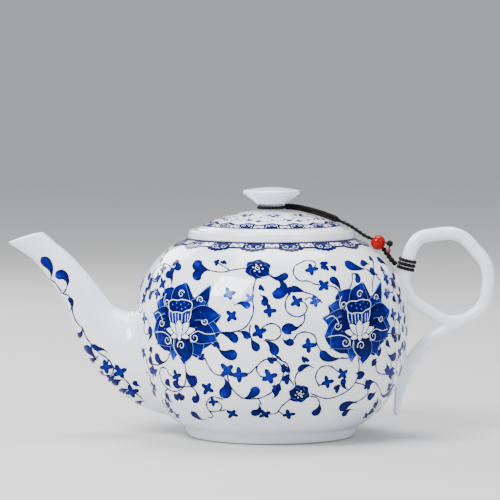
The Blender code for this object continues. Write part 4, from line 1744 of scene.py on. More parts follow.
class Brush:
    """Draws marks on a sheet, in millimetres."""

    def __init__(self, sheet: Sheet) -> None:
        """Keeps the sheet and the origin, turn and scale that marks are drawn with."""
        self.sheet = sheet
        self.origin, self.angle, self.scale, self.flip = np.zeros(2), 0.0, 1.0, 1.0

    def at(
        self, x: float, y: float, degrees: float = 0.0, scale: float = 1.0, flip: float = 1.0,
    ) -> "Brush":
        """Moves the origin that marks are drawn round.

        Args:
            x, y: the new origin.
            degrees: the turn of the marks.
            scale: their size.
            flip: -1 to mirror them.

        Returns:
            The brush itself.
        """
        self.origin, self.angle = np.array((x, y), float), math.radians(degrees)
        self.scale, self.flip = scale, flip
        return self

    def put(self, points: Points) -> Array:
        """Points moved to the current origin."""
        points = np.array(points, float) * (self.flip, 1.0) * self.scale
        c, s = math.cos(self.angle), math.sin(self.angle)
        return points @ np.array([[c, s], [-s, c]]) + self.origin

    def ribbon(
        self, ink: Ink, points: Points, halves: Array, tones: Sequence, layer: int, across: int = 4,
        rim: float = 0.0,
    ) -> None:
        """A band along a line.

        Args:
            ink: its Ink.
            points: the line's points, in the brush's own frame.
            halves: half the width at each point.
            tones: the tone at each point.
            layer: its height in the stack.
            across: cells from side to side.
            rim: how much darker its edges are than its middle.
        """
        line = self.put(points)
        way = np.gradient(line, axis=0)
        way /= np.maximum(np.linalg.norm(way, axis=1)[:, None], 1e-9)
        side = np.stack([-way[:, 1], way[:, 0]], 1)
        rows, shades = [], []
        for place in np.linspace(-1, 1, across + 1):
            rows.append(line + side * (np.array(halves) * self.scale * place)[:, None])
            shades.append(np.array(tones) - rim * abs(place) ** 2.5)
        count = len(line)
        index = np.arange(count * (across + 1)).reshape(across + 1, count)
        faces = np.stack([index[:-1, :-1], index[:-1, 1:], index[1:, 1:], index[1:, :-1]], -1).reshape(-1, 4)
        self.sheet.add(ink, np.vstack(rows), faces.tolist(), np.concatenate(shades), layer)

    def fan(
        self, ink: Ink, centre: Point, outline: Points, tone: float, layer: int, rim: float = 0.0,
        rings: int = 4,
    ) -> None:
        """A filled shape round a centre.

        Args:
            ink: its Ink.
            centre: the middle point.
            outline: the closed outline's points.
            tone: the tone in its middle.
            layer: its height in the stack.
            rim: how much darker its edge is.
            rings: how many rings it is cut into.
        """
        middle = np.array(centre, float)
        outline = np.array(outline, float)
        points, tones = [middle], [tone]
        for ring in range(1, rings + 1):
            share = ring / rings
            points += list(middle + (outline - middle) * share)
            tones += [tone - rim * share**3] * len(outline)
        count = len(outline)
        faces = [[0, 1 + i, 1 + (i + 1) % count] for i in range(count)]
        for ring in range(rings - 1):
            low, high = 1 + ring * count, 1 + (ring + 1) * count
            for i in range(count):
                faces.append([low + i, high + i, high + (i + 1) % count, low + (i + 1) % count])
        self.sheet.add(ink, self.put(points), faces, tones, layer)

    def line(
        self, points: Points, width: float = 0.60, layer: int = 4, ink: Ink = Ink.LINE, tone: float = 0.2,
    ) -> None:
        """A thin smooth line that swells and thins a little.

        Args:
            points: the points that it passes.
            width: its width.
            layer: its height in the stack.
            ink: its Ink.
            tone: its tone.
        """
        route = through(points, 0.7)
        sway = 1 + 0.18 * np.sin(np.arange(len(route)) * 0.9)
        self.ribbon(ink, route, width / 2 * sway, np.full(len(route), tone), layer, across=1)

    def curl(
        self, x: float, y: float, radius: float, start: float, sweep: float, width: float = 0.56,
        shrink: float = 0.55, ink: Ink = Ink.LINE, layer: int = 4,
    ) -> None:
        """An open loop that tightens as it turns.

        Args:
            x, y: the loop's centre.
            radius: its first radius.
            start, sweep: its first angle and its turn, in degrees.
            width: the line's width.
            shrink: the share of the radius lost by its end.
            ink: its Ink.
            layer: its height in the stack.
        """
        t = np.linspace(0, 1, max(10, int(abs(sweep) / 16)))
        angle = np.radians(start + sweep * t)
        reach = radius * (1 - shrink * t**1.6)
        points = np.stack([x + reach * np.cos(angle), y + reach * np.sin(angle)], 1)
        self.line(points, width, layer, ink)

    def leaf(
        self, points: Points, width: float, tone: float = 0.62, rim: float = 0.5, layer: int = 8,
        tail: float = 0.2,
    ) -> None:
        """A comma-shaped leaf from its thin tail to its round head.

        Args:
            points: its middle line, tail first.
            width: its greatest width.
            tone: the tone of its head.
            rim: how much darker its edges are.
            layer: its height in the stack.
            tail: half its width at the tail.
        """
        route = through(points, 0.6)
        t = np.linspace(0, 1, len(route))
        halves = np.maximum(tail * (1 - t**8), width * 0.72 * np.sin(math.pi * t**2.4) ** 0.62)
        shade = 0.05 + (tone - 0.05) * t**1.3
        self.ribbon(Ink.WASH, route, halves, shade, layer, across=6, rim=rim)

    def petal(
        self, base: Point, tip: Point, width: float, bend: float = 0.0, low: float = 0.1,
        high: float = 0.75, layer: int = 10, edge: float = 0.30, full: float = 0.75,
    ) -> None:
        """A pointed petal with a pale edge.

        Args:
            base, tip: its ends.
            width: its greatest width.
            bend: how far its middle bows to the left.
            low, high: its tone at the base and near the tip.
            layer: its height in the stack.
            edge: the width of the pale edge.
            full: how full its shoulders are.
        """
        base, tip = np.array(base, float), np.array(tip, float)
        way = tip - base
        side = np.array([-way[1], way[0]]) / np.linalg.norm(way)
        route = through([base, (base + tip) / 2 + side * bend, tip], 0.8)
        t = np.linspace(0, 1, len(route))
        halves = width / 2 * np.sin(math.pi * (0.12 + 0.88 * t) ** 0.95) ** (full + 0.55 * t**3)
        halves[-1] = 0.02
        self.ribbon(Ink.WASH, route, halves + edge, np.full(len(route), 1.1), layer, across=6)
        shade = low + (high - low) * t**1.5
        self.ribbon(Ink.WASH, route, halves, shade, layer + 1, across=8, rim=0.32)

    def star(
        self, x: float, y: float, size: float, degrees: float = 0.0, tone: float = 0.5, layer: int = 8,
    ) -> None:
        """A four-pointed flower with waisted sides.

        Args:
            x, y: its centre.
            size: its reach.
            degrees: its turn.
            tone: the tone in its middle.
            layer: its height in the stack.
        """
        angles = np.linspace(0, 2 * math.pi, 33)[:-1] + math.radians(degrees)
        lobes = np.abs(np.cos(2 * (angles - math.radians(degrees))))
        reach = 1.36 * size * (0.46 + 0.54 * lobes**1.8) * (1 + 0.10 * np.cos(angles * 3))
        outline = np.stack([x + reach * np.cos(angles), y + reach * np.sin(angles)], 1)
        self.fan(Ink.WASH, (x, y), outline, tone, layer, rim=0.42)

    def dot(
        self, x: float, y: float, radius: float, ink: Ink = Ink.WASH, tone: float = 0.3, layer: int = 8,
        stretch: float = 1.0,
    ) -> None:
        """A round or stretched dot.

        Args:
            x, y: its centre.
            radius: its radius.
            ink: its Ink.
            tone: its tone.
            layer: its height in the stack.
            stretch: its height for a width of one.
        """
        angles = np.linspace(0, 2 * math.pi, 17)[:-1]
        outline = np.stack([x + radius * np.cos(angles), y + radius * stretch * np.sin(angles)], 1)
        self.fan(ink, (x, y), outline, tone, layer, rim=0.2, rings=2)

    def sprig(self, x: float, y: float, degrees: float, size: float = 1.0, tone: float = 0.5) -> None:
        """Three short leaves that fan out from one stalk.

        Args:
            x, y: the stalk's foot.
            degrees: which way it points.
            size: its scale.
            tone: the leaves' tone.
        """
        for spread, length in ((-50, 2.9), (0, 3.6), (52, 2.9)):
            a = math.radians(degrees + spread)
            tip = (x + math.cos(a) * length * size, y + math.sin(a) * length * size)
            middle = ((x + tip[0]) / 2 - math.sin(a) * 0.3, (y + tip[1]) / 2 + math.cos(a) * 0.3)
            self.leaf([(x, y), middle, tip], 2.0 * size, tone, 0.4)

    def white_curl(
        self, x: float, y: float, radius: float, start: float = 0.0, turn: float = 1.0, layer: int = 40,
    ) -> None:
        """A white spiral, as on a folded petal.

        Args:
            x, y: its centre.
            radius: its first radius.
            start: its first angle in degrees.
            turn: 1 or -1 for the way it turns.
            layer: its height in the stack.
        """
        t = np.linspace(0, 1, 22)
        angle = math.radians(start) + turn * 2 * math.pi * 1.25 * t
        reach = radius * (1 - 0.85 * t)
        points = np.stack([x + reach * np.cos(angle), y + reach * np.sin(angle)], 1)
        self.ribbon(Ink.RESERVE, points, 0.06 + 0.17 * (1 - t), np.ones(22), layer, across=2)


class Lotus:
    """The large lotus with its seed pod and the small white bloom inside it."""

    PETALS = (
        # base, tip, width, bend, tone at the tip
        ((-3.0, -6.0), (-6.5, -18.8), 6.4, 0.0, 0.95), ((2.0, -6.0), (9.8, -16.4), 10.0, 1.2, 0.55),
        ((3.0, 4.0), (14.8, 16.6), 6.4, -1.8, 0.25), ((4.0, 2.0), (12.4, 9.0), 8.0, 1.0, 0.55),
        ((-6.0, 3.0), (-18.0, 7.4), 8.0, -1.0, 0.8), ((-6.0, 2.0), (-21.2, 1.6), 9.6, 1.2, 0.75),
        ((5.0, -1.0), (20.4, -4.4), 7.6, 0.8, 0.7), ((-6.0, -2.0), (-20.4, -6.6), 9.6, -1.0, 0.75),
        ((-4.0, 4.0), (-13.4, 13.6), 9.8, -1.6, 0.5), ((4.0, 1.0), (20.2, 3.0), 8.8, 0.8, 0.6),
        ((3.0, -4.0), (18.4, -8.8), 10.4, 1.2, 0.6), ((-3.0, -4.0), (-17.4, -12.2), 13.0, -1.4, 0.6),
        ((-1.5, 4.0), (1.0, 17.4), 11.0, 1.4, 0.6), ((-1.5, -7.0), (0.4, -20.2), 10.6, 1.4, 0.45),
    )
    CURLS = (
        (-1.2, 11.8, 2.0, 20, 1), (-0.8, -11.6, 2.3, 200, -1), (6.8, -7.6, 2.4, 150, 1),
        (-9.6, -9.6, 2.4, 40, -1), (12.4, 0.0, 1.8, 160, 1), (-13.8, -2.0, 2.0, 20, -1),
        (9.8, 9.6, 1.8, 200, -1), (-10.6, 7.2, 1.9, 300, 1),
    )
    FOLDS = (
        # white edges of the folded petals
        ((-19.4, 1.4), (-16.6, 2.6), (-14.2, 1.2), (-13.0, -1.4)),
        ((-18.4, -6.6), (-14.0, -6.2), (-10.6, -6.6), (-7.4, -8.6), (-7.0, -11.4)),
        ((17.4, -5.2), (13.0, -5.6), (8.4, -4.6), (4.8, -6.8), (5.0, -9.8)),
        ((-5.2, -8.8), (-5.4, -12.4), (-3.4, -15.4), (-1.0, -17.2)),
        ((-11.4, 11.4), (-12.6, 8.4), (-11.8, 5.6)),
    )
    OUTLINE = (
        (-21.0, 1.9), (-18.4, -2.0), (-19.8, -6.0), (-18.8, -9.2), (-15.6, -12.6), (-12.0, -14.4),
        (-8.4, -15.0), (-6.2, -18.8), (-3.8, -15.6), (-1.6, -17.0), (0.8, -19.7), (3.4, -15.2),
        (7.8, -16.6), (9.8, -13.4), (14.7, -10.5), (17.8, -7.0), (19.9, -4.3), (16.8, -2.2), (20.0, 3.0),
        (15.0, 4.4), (13.6, 8.6), (14.8, 16.6), (6.8, 10.6), (4.6, 12.7), (1.2, 17.3), (-4.6, 14.0),
        (-8.0, 10.6), (-12.0, 13.4), (-14.6, 10.8), (-13.8, 7.8), (-18.2, 7.2), (-17.6, 4.0),
    )
    BLOOM = (
        # tip of each small white petal and its width
        ((-11.4, -4.6), 3.4), ((6.2, -3.6), 3.4), ((-8.2, -8.2), 2.8), ((2.8, -7.8), 2.8),
        ((-3.0, -9.4), 2.6), ((-8.8, -1.4), 3.6), ((2.8, -0.8), 3.8), ((-3.2, 0.2), 4.2),
    )
    HEART = (-3.0, -6.2)
    POD_RIM = (
        (-10.3, 6.2), (-10.0, 7.8), (-7.6, 8.9), (-4.6, 8.7), (-2.0, 9.3), (1.2, 9.0), (3.6, 8.4), (4.3, 6.8),
        (3.4, 5.0), (0.8, 4.3), (-1.4, 3.2), (-4.6, 3.5), (-7.4, 3.2), (-9.6, 4.4), (-10.3, 6.2),
    )
    SEEDS = (
        (-7.4, 6.6), (-5.0, 7.6), (-4.6, 5.4), (-2.4, 7.0), (-0.4, 8.0), (0.4, 5.8), (2.2, 7.2), (-1.8, 5.0),
    )

    def draw(self, brush: Brush) -> None:
        """Paints the flower round the brush's origin."""
        ground = through(self.OUTLINE + self.OUTLINE[:1], 0.8)[:-1]
        brush.fan(Ink.WASH, (-1.0, -1.0), ground, 0.12, 8, rings=7)
        brush.line(self.OUTLINE + self.OUTLINE[:1], 0.30, 9, Ink.LINE)
        angles = np.linspace(0, 2 * math.pi, 41)[:-1]
        for i, (base, tip, width, bend, tone) in enumerate(self.PETALS):
            brush.petal(base, tip, width, bend, 0.04, tone, layer=10 + 2 * i, edge=0.22)
        heart = np.stack([9.4 * np.cos(angles) - 2.4, 8.6 * np.sin(angles) - 0.8], 1)
        brush.fan(Ink.WASH, (-2.4, -0.8), heart, 0.10, 41)
        for x, y, radius, start, turn in self.CURLS:
            brush.white_curl(x, y, radius, start, turn, 44)
        for fold in self.FOLDS:
            brush.line(fold, 0.26, 44, Ink.RESERVE)
        brush.origin = brush.origin + (1.2, 0.0)
        self.pod(brush)
        self.bloom(brush)

    def pod(self, brush: Brush) -> None:
        """The seed pod above the bloom: a ribbed cup with a dotted top."""
        bowl = through(self.POD_RIM, 0.8)
        cup = through(((-9.6, 4.4), (-9.3, 1.0), (-8.0, -3.0), (2.0, -3.0), (3.2, 1.0), (3.6, 5.0)), 0.8)
        brush.fan(Ink.WASH, (-3.0, 1.4), np.vstack([cup, bowl[::-1][len(bowl) // 2:]]), 0.45, 45)
        brush.fan(Ink.WASH, (-3.0, 6.2), bowl[:-1], 0.12, 46)
        brush.line(self.POD_RIM, 0.36, 48, Ink.RESERVE)
        brush.line(((-9.6, 4.0), (-9.4, 1.2), (-8.4, -1.4)), 0.32, 48, Ink.RESERVE)
        brush.line(((3.6, 4.6), (3.2, 1.6), (2.0, -0.6)), 0.32, 48, Ink.RESERVE)
        for x in (-7.6, -5.6, -3.8, -1.6, 0.6, 2.0):
            brush.line([(x, 3.0), (x * 0.95 - 0.1, 1.0), (x * 0.9 - 0.2, -1.4)], 0.26, 48, Ink.RESERVE)
        for x, y in self.SEEDS:
            brush.dot(x, y, 0.45, Ink.WASH, 0.85, 48)

    def bloom(self, brush: Brush) -> None:
        """The small white bloom: bare petals with navy edges."""
        heart = np.array(self.HEART)
        for i, (tip, width) in enumerate(self.BLOOM):
            route = through([heart, (heart + tip) / 2, tip], 0.6)
            t = np.linspace(0, 1, len(route))
            halves = width / 2 * np.sin(math.pi * (0.10 + 0.90 * t)) ** 0.7
            halves[-1] = 0.02
            brush.ribbon(Ink.WASH, route, halves + 0.34, np.full(len(route), 0.0), 52 + 2 * i, across=4)
            brush.ribbon(Ink.RESERVE, route, halves, np.ones(len(route)), 53 + 2 * i, across=4)
            way = np.gradient(np.array(route), axis=0)
            side = np.stack([-way[:, 1], way[:, 0]], 1) / np.linalg.norm(way, axis=1)[:, None]
            for flank in (-1, 1):
                edge = route + side * (flank * halves)[:, None]
                thin, navy = np.full(len(route), 0.15), np.zeros(len(route))
                brush.ribbon(Ink.LINE, edge, thin, navy, 54 + 2 * i, across=1)


class Blossom:
    """A small blue flower of rounded petals with white dots."""

    def draw(self, brush: Brush, size: float = 1.0) -> None:
        """Paints the flower round the brush's origin."""
        for i in range(6):
            a = math.radians(20 + 60 * i)
            tip = (math.cos(a) * 4.2 * size, math.sin(a) * 3.8 * size)
            brush.petal((0, 0), tip, 4.4 * size, 0.2, 0.02, 0.30, 10 + 2 * i, 0.10, 0.5)
        brush.dot(0, 0.2 * size, 2.0 * size, Ink.WASH, 0.10, 24)
        for i in range(6):
            a = math.radians(50 + 60 * i)
            x, y = 1.5 * size * math.cos(a), 0.2 + 1.4 * size * math.sin(a)
            brush.dot(x, y, 0.24 * size, Ink.RESERVE, 1.0, 26)
        brush.white_curl(0.0, 0.2, 0.9 * size, 90, 1, 28)


class BellyPattern:
    """Scrolling lotus pattern of one half of the belly, placed as it shows from the front."""

    LOTUSES = ((-39.0, 58.4), (39.5, 58.4))
    BLOSSOMS = ((-6.3, 78.2, 0, 1.5), (13.2, 19.2, 200, 1.25))
    STARS = (
        (18.7, 77.8, 2.5, 10, 0.5), (24.6, 70.3, 2.4, 42, 0.5), (-0.9, 58.3, 2.3, 5, 0.45),
        (-5.8, 48.3, 2.6, 24, 0.45), (11.8, 62.7, 2.3, 30, 0.5), (20.5, 62.7, 2.1, 15, 0.8),
        (17.5, 42.0, 2.6, 5, 0.45), (33.6, 28.6, 2.3, 36, 0.45), (26.3, 24.7, 2.4, 12, 0.45),
        (-0.9, 27.2, 2.8, 22, 0.55), (-15.0, 28.2, 2.8, 4, 0.6), (-20.8, 30.3, 2.9, 45, 0.6),
        (-30.0, 21.8, 2.6, 60, 0.45), (-19.8, 66.3, 2.3, 20, 0.95), (-18.6, 56.0, 2.3, 50, 0.45),
        (-27.4, 15.4, 2.0, 10, 0.4), (-18.4, 9.8, 2.3, 60, 0.35), (-3.1, 9.6, 2.3, 35, 0.3),
        (8.1, 9.4, 2.3, 10, 0.3), (-10.0, 64.2, 1.8, 40, 1.0),
    )
    LEAVES = (
        # points from tail to head, width, tone
        (((-1.6, 75.0), (2.4, 73.6), (5.8, 74.4), (7.0, 76.4)), 2.7, 0.5),
        (((1.0, 74.0), (4.8, 71.8), (5.6, 68.6), (3.0, 66.4), (0.2, 66.6)), 3.9, 0.66),
        (((-5.4, 66.0), (-3.2, 64.6), (-3.0, 62.6), (-4.8, 61.4)), 2.5, 0.5),
        (((-17.4, 61.2), (-14.4, 62.0), (-11.8, 61.2), (-10.4, 59.4)), 2.3, 1.05),
        (((14.4, 51.6), (11.6, 50.2), (8.8, 50.4), (7.0, 49.0), (6.0, 47.6)), 3.7, 0.62),
        (((-25.0, 48.0), (-21.4, 47.4), (-18.0, 46.0), (-16.2, 43.2)), 2.9, 0.5),
        (((-15.8, 48.6), (-13.2, 48.2), (-11.6, 46.8), (-11.4, 44.8)), 2.5, 0.5),
        (((-25.8, 41.6), (-23.0, 38.8), (-19.4, 37.6), (-15.8, 38.2)), 3.6, 0.62),
        (((-9.8, 46.0), (-8.6, 43.4), (-7.0, 41.2), (-5.2, 40.4)), 2.8, 0.45),
        (((-3.8, 44.6), (-0.6, 43.0), (1.4, 40.0), (0.6, 37.4)), 3.2, 0.55),
        (((5.0, 45.4), (6.6, 43.8), (8.8, 43.6), (10.4, 44.8)), 2.6, 0.45),
        (((33.8, 36.4), (29.4, 35.6), (25.6, 36.6), (23.0, 39.6)), 3.0, 0.55),
        (((-22.6, 27.6), (-20.8, 24.0), (-21.2, 20.6), (-23.6, 17.6)), 4.2, 0.66),
        (((-14.4, 17.0), (-10.8, 17.6), (-8.0, 19.8), (-6.8, 22.8)), 3.2, 0.72),
        (((0.6, 16.8), (2.0, 18.4), (2.2, 20.6), (1.4, 22.6)), 2.6, 0.5),
        (((20.0, 31.4), (17.6, 32.6), (14.6, 31.8), (12.6, 29.6)), 1.9, 0.45),
        (((-6.0, 14.8), (-5.4, 12.2), (-7.0, 10.4), (-9.8, 10.4)), 2.9, 0.35),
        (((22.6, 15.6), (22.6, 12.6), (21.0, 10.4), (18.8, 9.8)), 2.8, 0.35),
        (((38.6, 11.8), (36.4, 11.6), (34.6, 10.0), (34.0, 8.4)), 2.4, 0.35),
        (((45.0, 78.0), (41.0, 78.4), (37.2, 79.6), (34.4, 81.8)), 3.4, 0.55),
        (((37.8, 76.2), (39.8, 75.4), (40.6, 73.6), (39.8, 71.6)), 2.6, 0.5),
        (((33.0, 66.6), (31.4, 70.4), (29.6, 72.6), (27.2, 73.6)), 2.5, 0.5),
        (((16.6, 66.8), (13.4, 68.0), (10.8, 68.6), (8.6, 67.8)), 2.4, 0.45),
        (((36.4, 20.8), (34.4, 22.4), (33.8, 24.6), (34.8, 26.4)), 2.2, 0.4),
    )
    EDGE_LEAVES = (
        # towards the left and right of the belly
        (((-28.6, 77.6), (-31.4, 78.2), (-34.0, 79.2), (-35.8, 82.0)), 4.6, 0.62),
        (((-29.6, 77.4), (-32.4, 76.8), (-34.4, 75.6), (-36.0, 72.8)), 4.0, 0.5),
        (((-46.8, 70.4), (-46.8, 73.2), (-47.6, 75.2), (-49.6, 75.6)), 2.8, 0.45),
        (((-46.3, 77.0), (-45.4, 78.2), (-43.8, 78.8), (-42.2, 80.0)), 3.0, 0.45),
        (((-44.8, 78.6), (-44.4, 80.4), (-44.0, 82.6)), 2.6, 0.4),
        (((-45.0, 79.2), (-45.6, 80.2), (-46.2, 81.0)), 2.0, 0.35),
        (((-52.4, 79.8), (-51.8, 81.6), (-51.0, 83.4)), 2.4, 0.4),
        (((-50.2, 84.6), (-49.2, 86.0), (-48.0, 87.4)), 2.2, 0.4),
        (((-57.4, 67.6), (-57.6, 69.2), (-56.6, 71.4)), 2.6, 0.35),
        (((-57.2, 69.0), (-58.4, 68.4), (-59.2, 66.8)), 2.4, 0.35),
        (((-54.2, 68.4), (-56.4, 66.4), (-57.4, 63.4)), 2.2, 0.35),
        (((-49.6, 34.2), (-52.0, 34.4), (-53.4, 36.0), (-54.4, 38.4)), 3.0, 0.35),
        (((-55.4, 31.8), (-56.4, 34.0), (-57.4, 36.8)), 2.6, 0.3),
        (((-56.6, 37.4), (-56.4, 39.2), (-57.0, 41.4)), 2.6, 0.3),
        (((-41.0, 22.8), (-43.4, 22.6), (-44.8, 23.8), (-45.4, 25.8)), 2.8, 0.35),
        (((-47.0, 22.0), (-48.0, 23.4), (-49.6, 26.0)), 3.0, 0.35),
        (((-46.2, 15.0), (-48.2, 16.6), (-49.6, 19.8)), 2.2, 0.3),
        (((-43.4, 20.2), (-43.8, 18.4), (-45.4, 17.0)), 3.0, 0.35),
        (((-43.4, 20.2), (-42.6, 18.4), (-41.2, 16.2)), 3.0, 0.35),
        (((-35.4, 20.8), (-34.6, 18.8), (-35.2, 16.8), (-37.4, 16.4)), 3.0, 0.4),
        (((-40.2, 30.6), (-39.2, 27.6), (-37.2, 25.6), (-34.6, 24.6)), 4.2, 0.45),
        (((-30.4, 6.8), (-33.4, 7.4), (-35.6, 9.0), (-37.8, 10.8)), 2.6, 0.3),
        (((46.0, 80.2), (44.0, 80.8), (41.6, 80.6)), 2.8, 0.5),
        (((48.2, 80.8), (47.2, 82.4), (45.6, 83.8)), 2.2, 0.4),
        (((54.4, 79.6), (52.0, 81.6), (49.4, 83.0)), 2.6, 0.4),
        (((53.4, 76.8), (52.2, 77.8), (51.0, 78.8)), 2.4, 0.4),
        (((55.4, 70.8), (54.6, 72.0), (53.6, 72.0)), 2.8, 0.45),
        (((56.0, 70.0), (57.0, 71.6), (56.8, 73.6)), 2.6, 0.4),
        (((56.4, 71.2), (57.8, 70.6), (58.4, 70.2)), 2.6, 0.4),
        (((58.8, 62.4), (57.6, 64.0), (57.0, 65.4)), 2.6, 0.4),
        (((61.0, 65.4), (60.4, 67.6), (59.6, 70.0)), 2.2, 0.35),
        (((61.6, 62.6), (62.0, 60.4), (61.6, 58.4)), 2.2, 0.35),
        (((61.2, 52.0), (61.8, 50.4), (61.4, 48.4)), 2.4, 0.4),
        (((60.8, 48.6), (60.4, 46.4), (59.4, 45.0)), 2.6, 0.4),
        (((57.0, 47.2), (58.2, 45.8), (58.2, 43.2)), 2.6, 0.45),
        (((56.0, 41.0), (55.0, 42.2), (53.8, 44.2)), 2.2, 0.45),
        (((54.2, 38.4), (56.2, 36.6), (57.8, 36.8), (58.2, 39.2)), 3.0, 0.5),
        (((61.6, 38.6), (61.8, 41.0), (61.2, 43.4)), 2.2, 0.35),
        (((54.2, 34.0), (54.4, 31.6), (53.8, 29.0)), 2.8, 0.6),
        (((50.4, 22.6), (52.4, 18.2), (55.4, 19.8), (57.8, 24.0)), 1.9, 0.3),
        (((59.4, 26.6), (60.0, 28.2), (60.6, 29.4)), 2.0, 0.35),
        (((49.6, 20.8), (47.8, 18.6), (45.0, 17.4)), 3.0, 0.35),
        (((44.6, 9.0), (46.0, 10.0), (47.8, 11.0)), 2.4, 0.3),
        (((49.6, 36.0), (48.4, 34.4), (49.0, 32.8)), 3.2, 0.4),
        (((50.8, 42.2), (51.2, 40.0), (49.6, 37.2)), 2.2, 0.4),
        (((39.4, 29.0), (41.6, 28.4), (42.6, 26.4)), 3.6, 0.4),
        (((48.8, 24.8), (46.4, 24.6), (44.4, 22.4)), 3.2, 0.35),
        (((40.6, 15.0), (37.6, 15.0), (34.4, 13.4), (32.4, 11.0)), 3.4, 0.4),
    )
    EDGE_STARS = (
        (-50.8, 78.3, 2.3, 15, 0.4), (-51.0, 71.2, 2.3, 40, 0.4), (-44.6, 27.6, 2.4, 20, 0.35),
        (54.4, 66.4, 1.9, 20, 0.85), (57.2, 56.6, 2.3, 10, 0.5), (56.4, 28.2, 2.3, 15, 0.45),
        (45.4, 23.2, 2.2, 30, 0.35),
    )
    EDGE_VINES = (
        ((-35.0, 79.0), (-31.4, 77.9), (-28.8, 77.3), (-23.0, 76.6), (-17.0, 77.8), (-10.6, 78.6)),
        ((-46.8, 70.4), (-46.2, 74.0), (-46.3, 77.0), (-47.4, 79.4), (-50.0, 80.5), (-53.0, 79.0),
         (-55.4, 76.2), (-55.8, 73.2), (-54.4, 72.0), (-52.6, 73.4), (-51.4, 76.2)),
        ((-47.0, 67.0), (-46.6, 70.0)), ((-54.4, 68.2), (-52.6, 67.2), (-52.0, 64.6)),
        ((-47.6, 38.4), (-48.8, 35.4), (-52.0, 33.2), (-55.4, 33.2), (-57.0, 36.0)),
        ((-40.8, 35.4), (-40.1, 30.0), (-40.4, 24.6), (-42.2, 21.4), (-45.6, 20.4), (-48.6, 21.6),
         (-51.2, 24.6), (-52.4, 28.4), (-51.8, 31.4), (-49.6, 31.2), (-48.0, 28.6), (-46.0, 27.4)),
        ((-48.6, 21.6), (-49.8, 20.4), (-49.4, 18.4)),
        ((-42.4, 22.2), (-38.4, 22.8), (-35.6, 20.8), (-35.0, 18.0)),
        ((50.4, 22.6), (48.8, 24.6), (45.8, 25.0)),
        ((49.0, 34.0), (49.6, 30.0), (51.6, 28.6), (54.6, 28.6)),
        ((47.8, 81.6), (48.0, 77.8), (49.6, 74.4), (51.4, 72.6)),
        ((48.4, 76.4), (47.4, 71.6), (47.6, 67.4)), ((53.8, 47.0), (55.4, 47.8), (57.0, 47.2)),
        ((53.8, 44.0), (53.8, 47.0)),
    )
    VINES = (
        ((-6.5, 75.0), (-8.2, 70.0), (-8.7, 64.0), (-8.5, 57.4), (-11.6, 51.2), (-17.0, 48.6),
         (-24.6, 48.2)),
        ((-24.6, 80.6), (-21.8, 79.0), (-19.6, 77.4)), ((-2.4, 76.8), (0.4, 74.6), (3.4, 73.8)),
        ((13.8, 81.2), (10.8, 79.0), (10.6, 75.4), (13.2, 72.6), (17.2, 72.4), (20.4, 71.0), (24.6, 70.3),
         (29.4, 69.6), (32.6, 67.0)),
        ((18.7, 77.8), (20.8, 79.8), (19.6, 81.8), (16.2, 82.0), (13.8, 81.0)),
        ((15.4, 67.2), (20.0, 65.6), (24.0, 62.0)),
        ((8.6, 66.8), (6.6, 62.4), (7.4, 58.0), (11.4, 55.6), (15.2, 56.6), (16.8, 59.8), (15.0, 62.6),
         (11.8, 62.7)),
        ((12.4, 50.6), (15.2, 53.0), (15.8, 56.6)), ((20.5, 62.7), (18.2, 64.6), (15.6, 63.6)),
        ((-3.0, 44.8), (1.6, 44.6), (4.4, 47.0), (3.8, 50.6), (0.6, 52.4), (-3.2, 51.2), (-5.8, 48.3)),
        ((-9.8, 51.8), (-10.2, 48.0), (-8.6, 43.4)),
        ((10.4, 44.6), (12.4, 47.4), (16.2, 48.4), (20.2, 46.8), (21.0, 43.0), (17.5, 42.0)),
        ((20.8, 44.0), (22.4, 41.0), (24.0, 38.6)), ((32.4, 36.0), (36.6, 36.2), (39.6, 38.0)),
        ((-25.8, 41.8), (-28.6, 42.8), (-31.0, 43.4)),
        ((41.0, 36.0), (41.2, 30.6), (39.4, 24.4), (34.6, 19.8), (26.4, 17.0), (18.4, 19.4)),
        ((22.6, 22.6), (20.8, 27.0), (22.8, 31.4), (27.4, 32.4), (31.0, 30.0), (33.6, 28.6)),
        ((22.4, 23.4), (24.2, 23.6), (26.3, 24.7)),
        ((39.6, 24.6), (44.2, 23.0), (45.4, 19.6), (42.4, 16.6), (39.0, 15.2)),
        ((-31.4, 36.4), (-28.8, 31.2), (-25.6, 28.2), (-20.8, 28.4)),
        ((-20.8, 28.4), (-18.8, 22.2), (-13.0, 17.2), (-4.8, 17.4), (2.0, 21.6), (5.6, 28.4), (3.2, 34.4),
         (-2.8, 35.4), (-6.8, 31.6), (-5.2, 27.6), (-0.9, 27.2)),
        ((-15.0, 28.2), (-10.2, 29.0), (-6.8, 32.4)), ((-8.6, 17.0), (-5.8, 16.6), (-4.8, 14.0)),
        ((-22.4, 16.6), (-27.8, 17.8), (-30.4, 14.6), (-29.0, 11.2), (-25.0, 11.0), (-23.2, 13.2),
         (-25.4, 15.8), (-27.4, 15.4)),
        ((-29.4, 11.6), (-27.4, 8.6), (-29.8, 7.8)), ((-24.0, 11.0), (-21.0, 11.6), (-18.4, 9.8)),
        ((-3.1, 9.6), (2.2, 10.0), (5.0, 13.4), (9.4, 17.2)), ((3.4, 11.0), (5.8, 9.4), (8.1, 9.4)),
        ((1.2, 38.0), (4.2, 35.2), (7.0, 33.8), (8.6, 30.6), (8.2, 27.2), (10.8, 23.2)),
        ((11.6, 22.6), (11.2, 26.6), (12.8, 30.0)), ((5.0, 34.8), (3.6, 36.6), (1.4, 37.6)),
        ((18.4, 18.0), (21.4, 17.4), (22.6, 15.4)), ((44.4, 78.2), (47.2, 76.0), (50.0, 75.4)),
        ((33.4, 66.8), (36.6, 69.0), (38.0, 72.6), (37.8, 76.0)),
    )
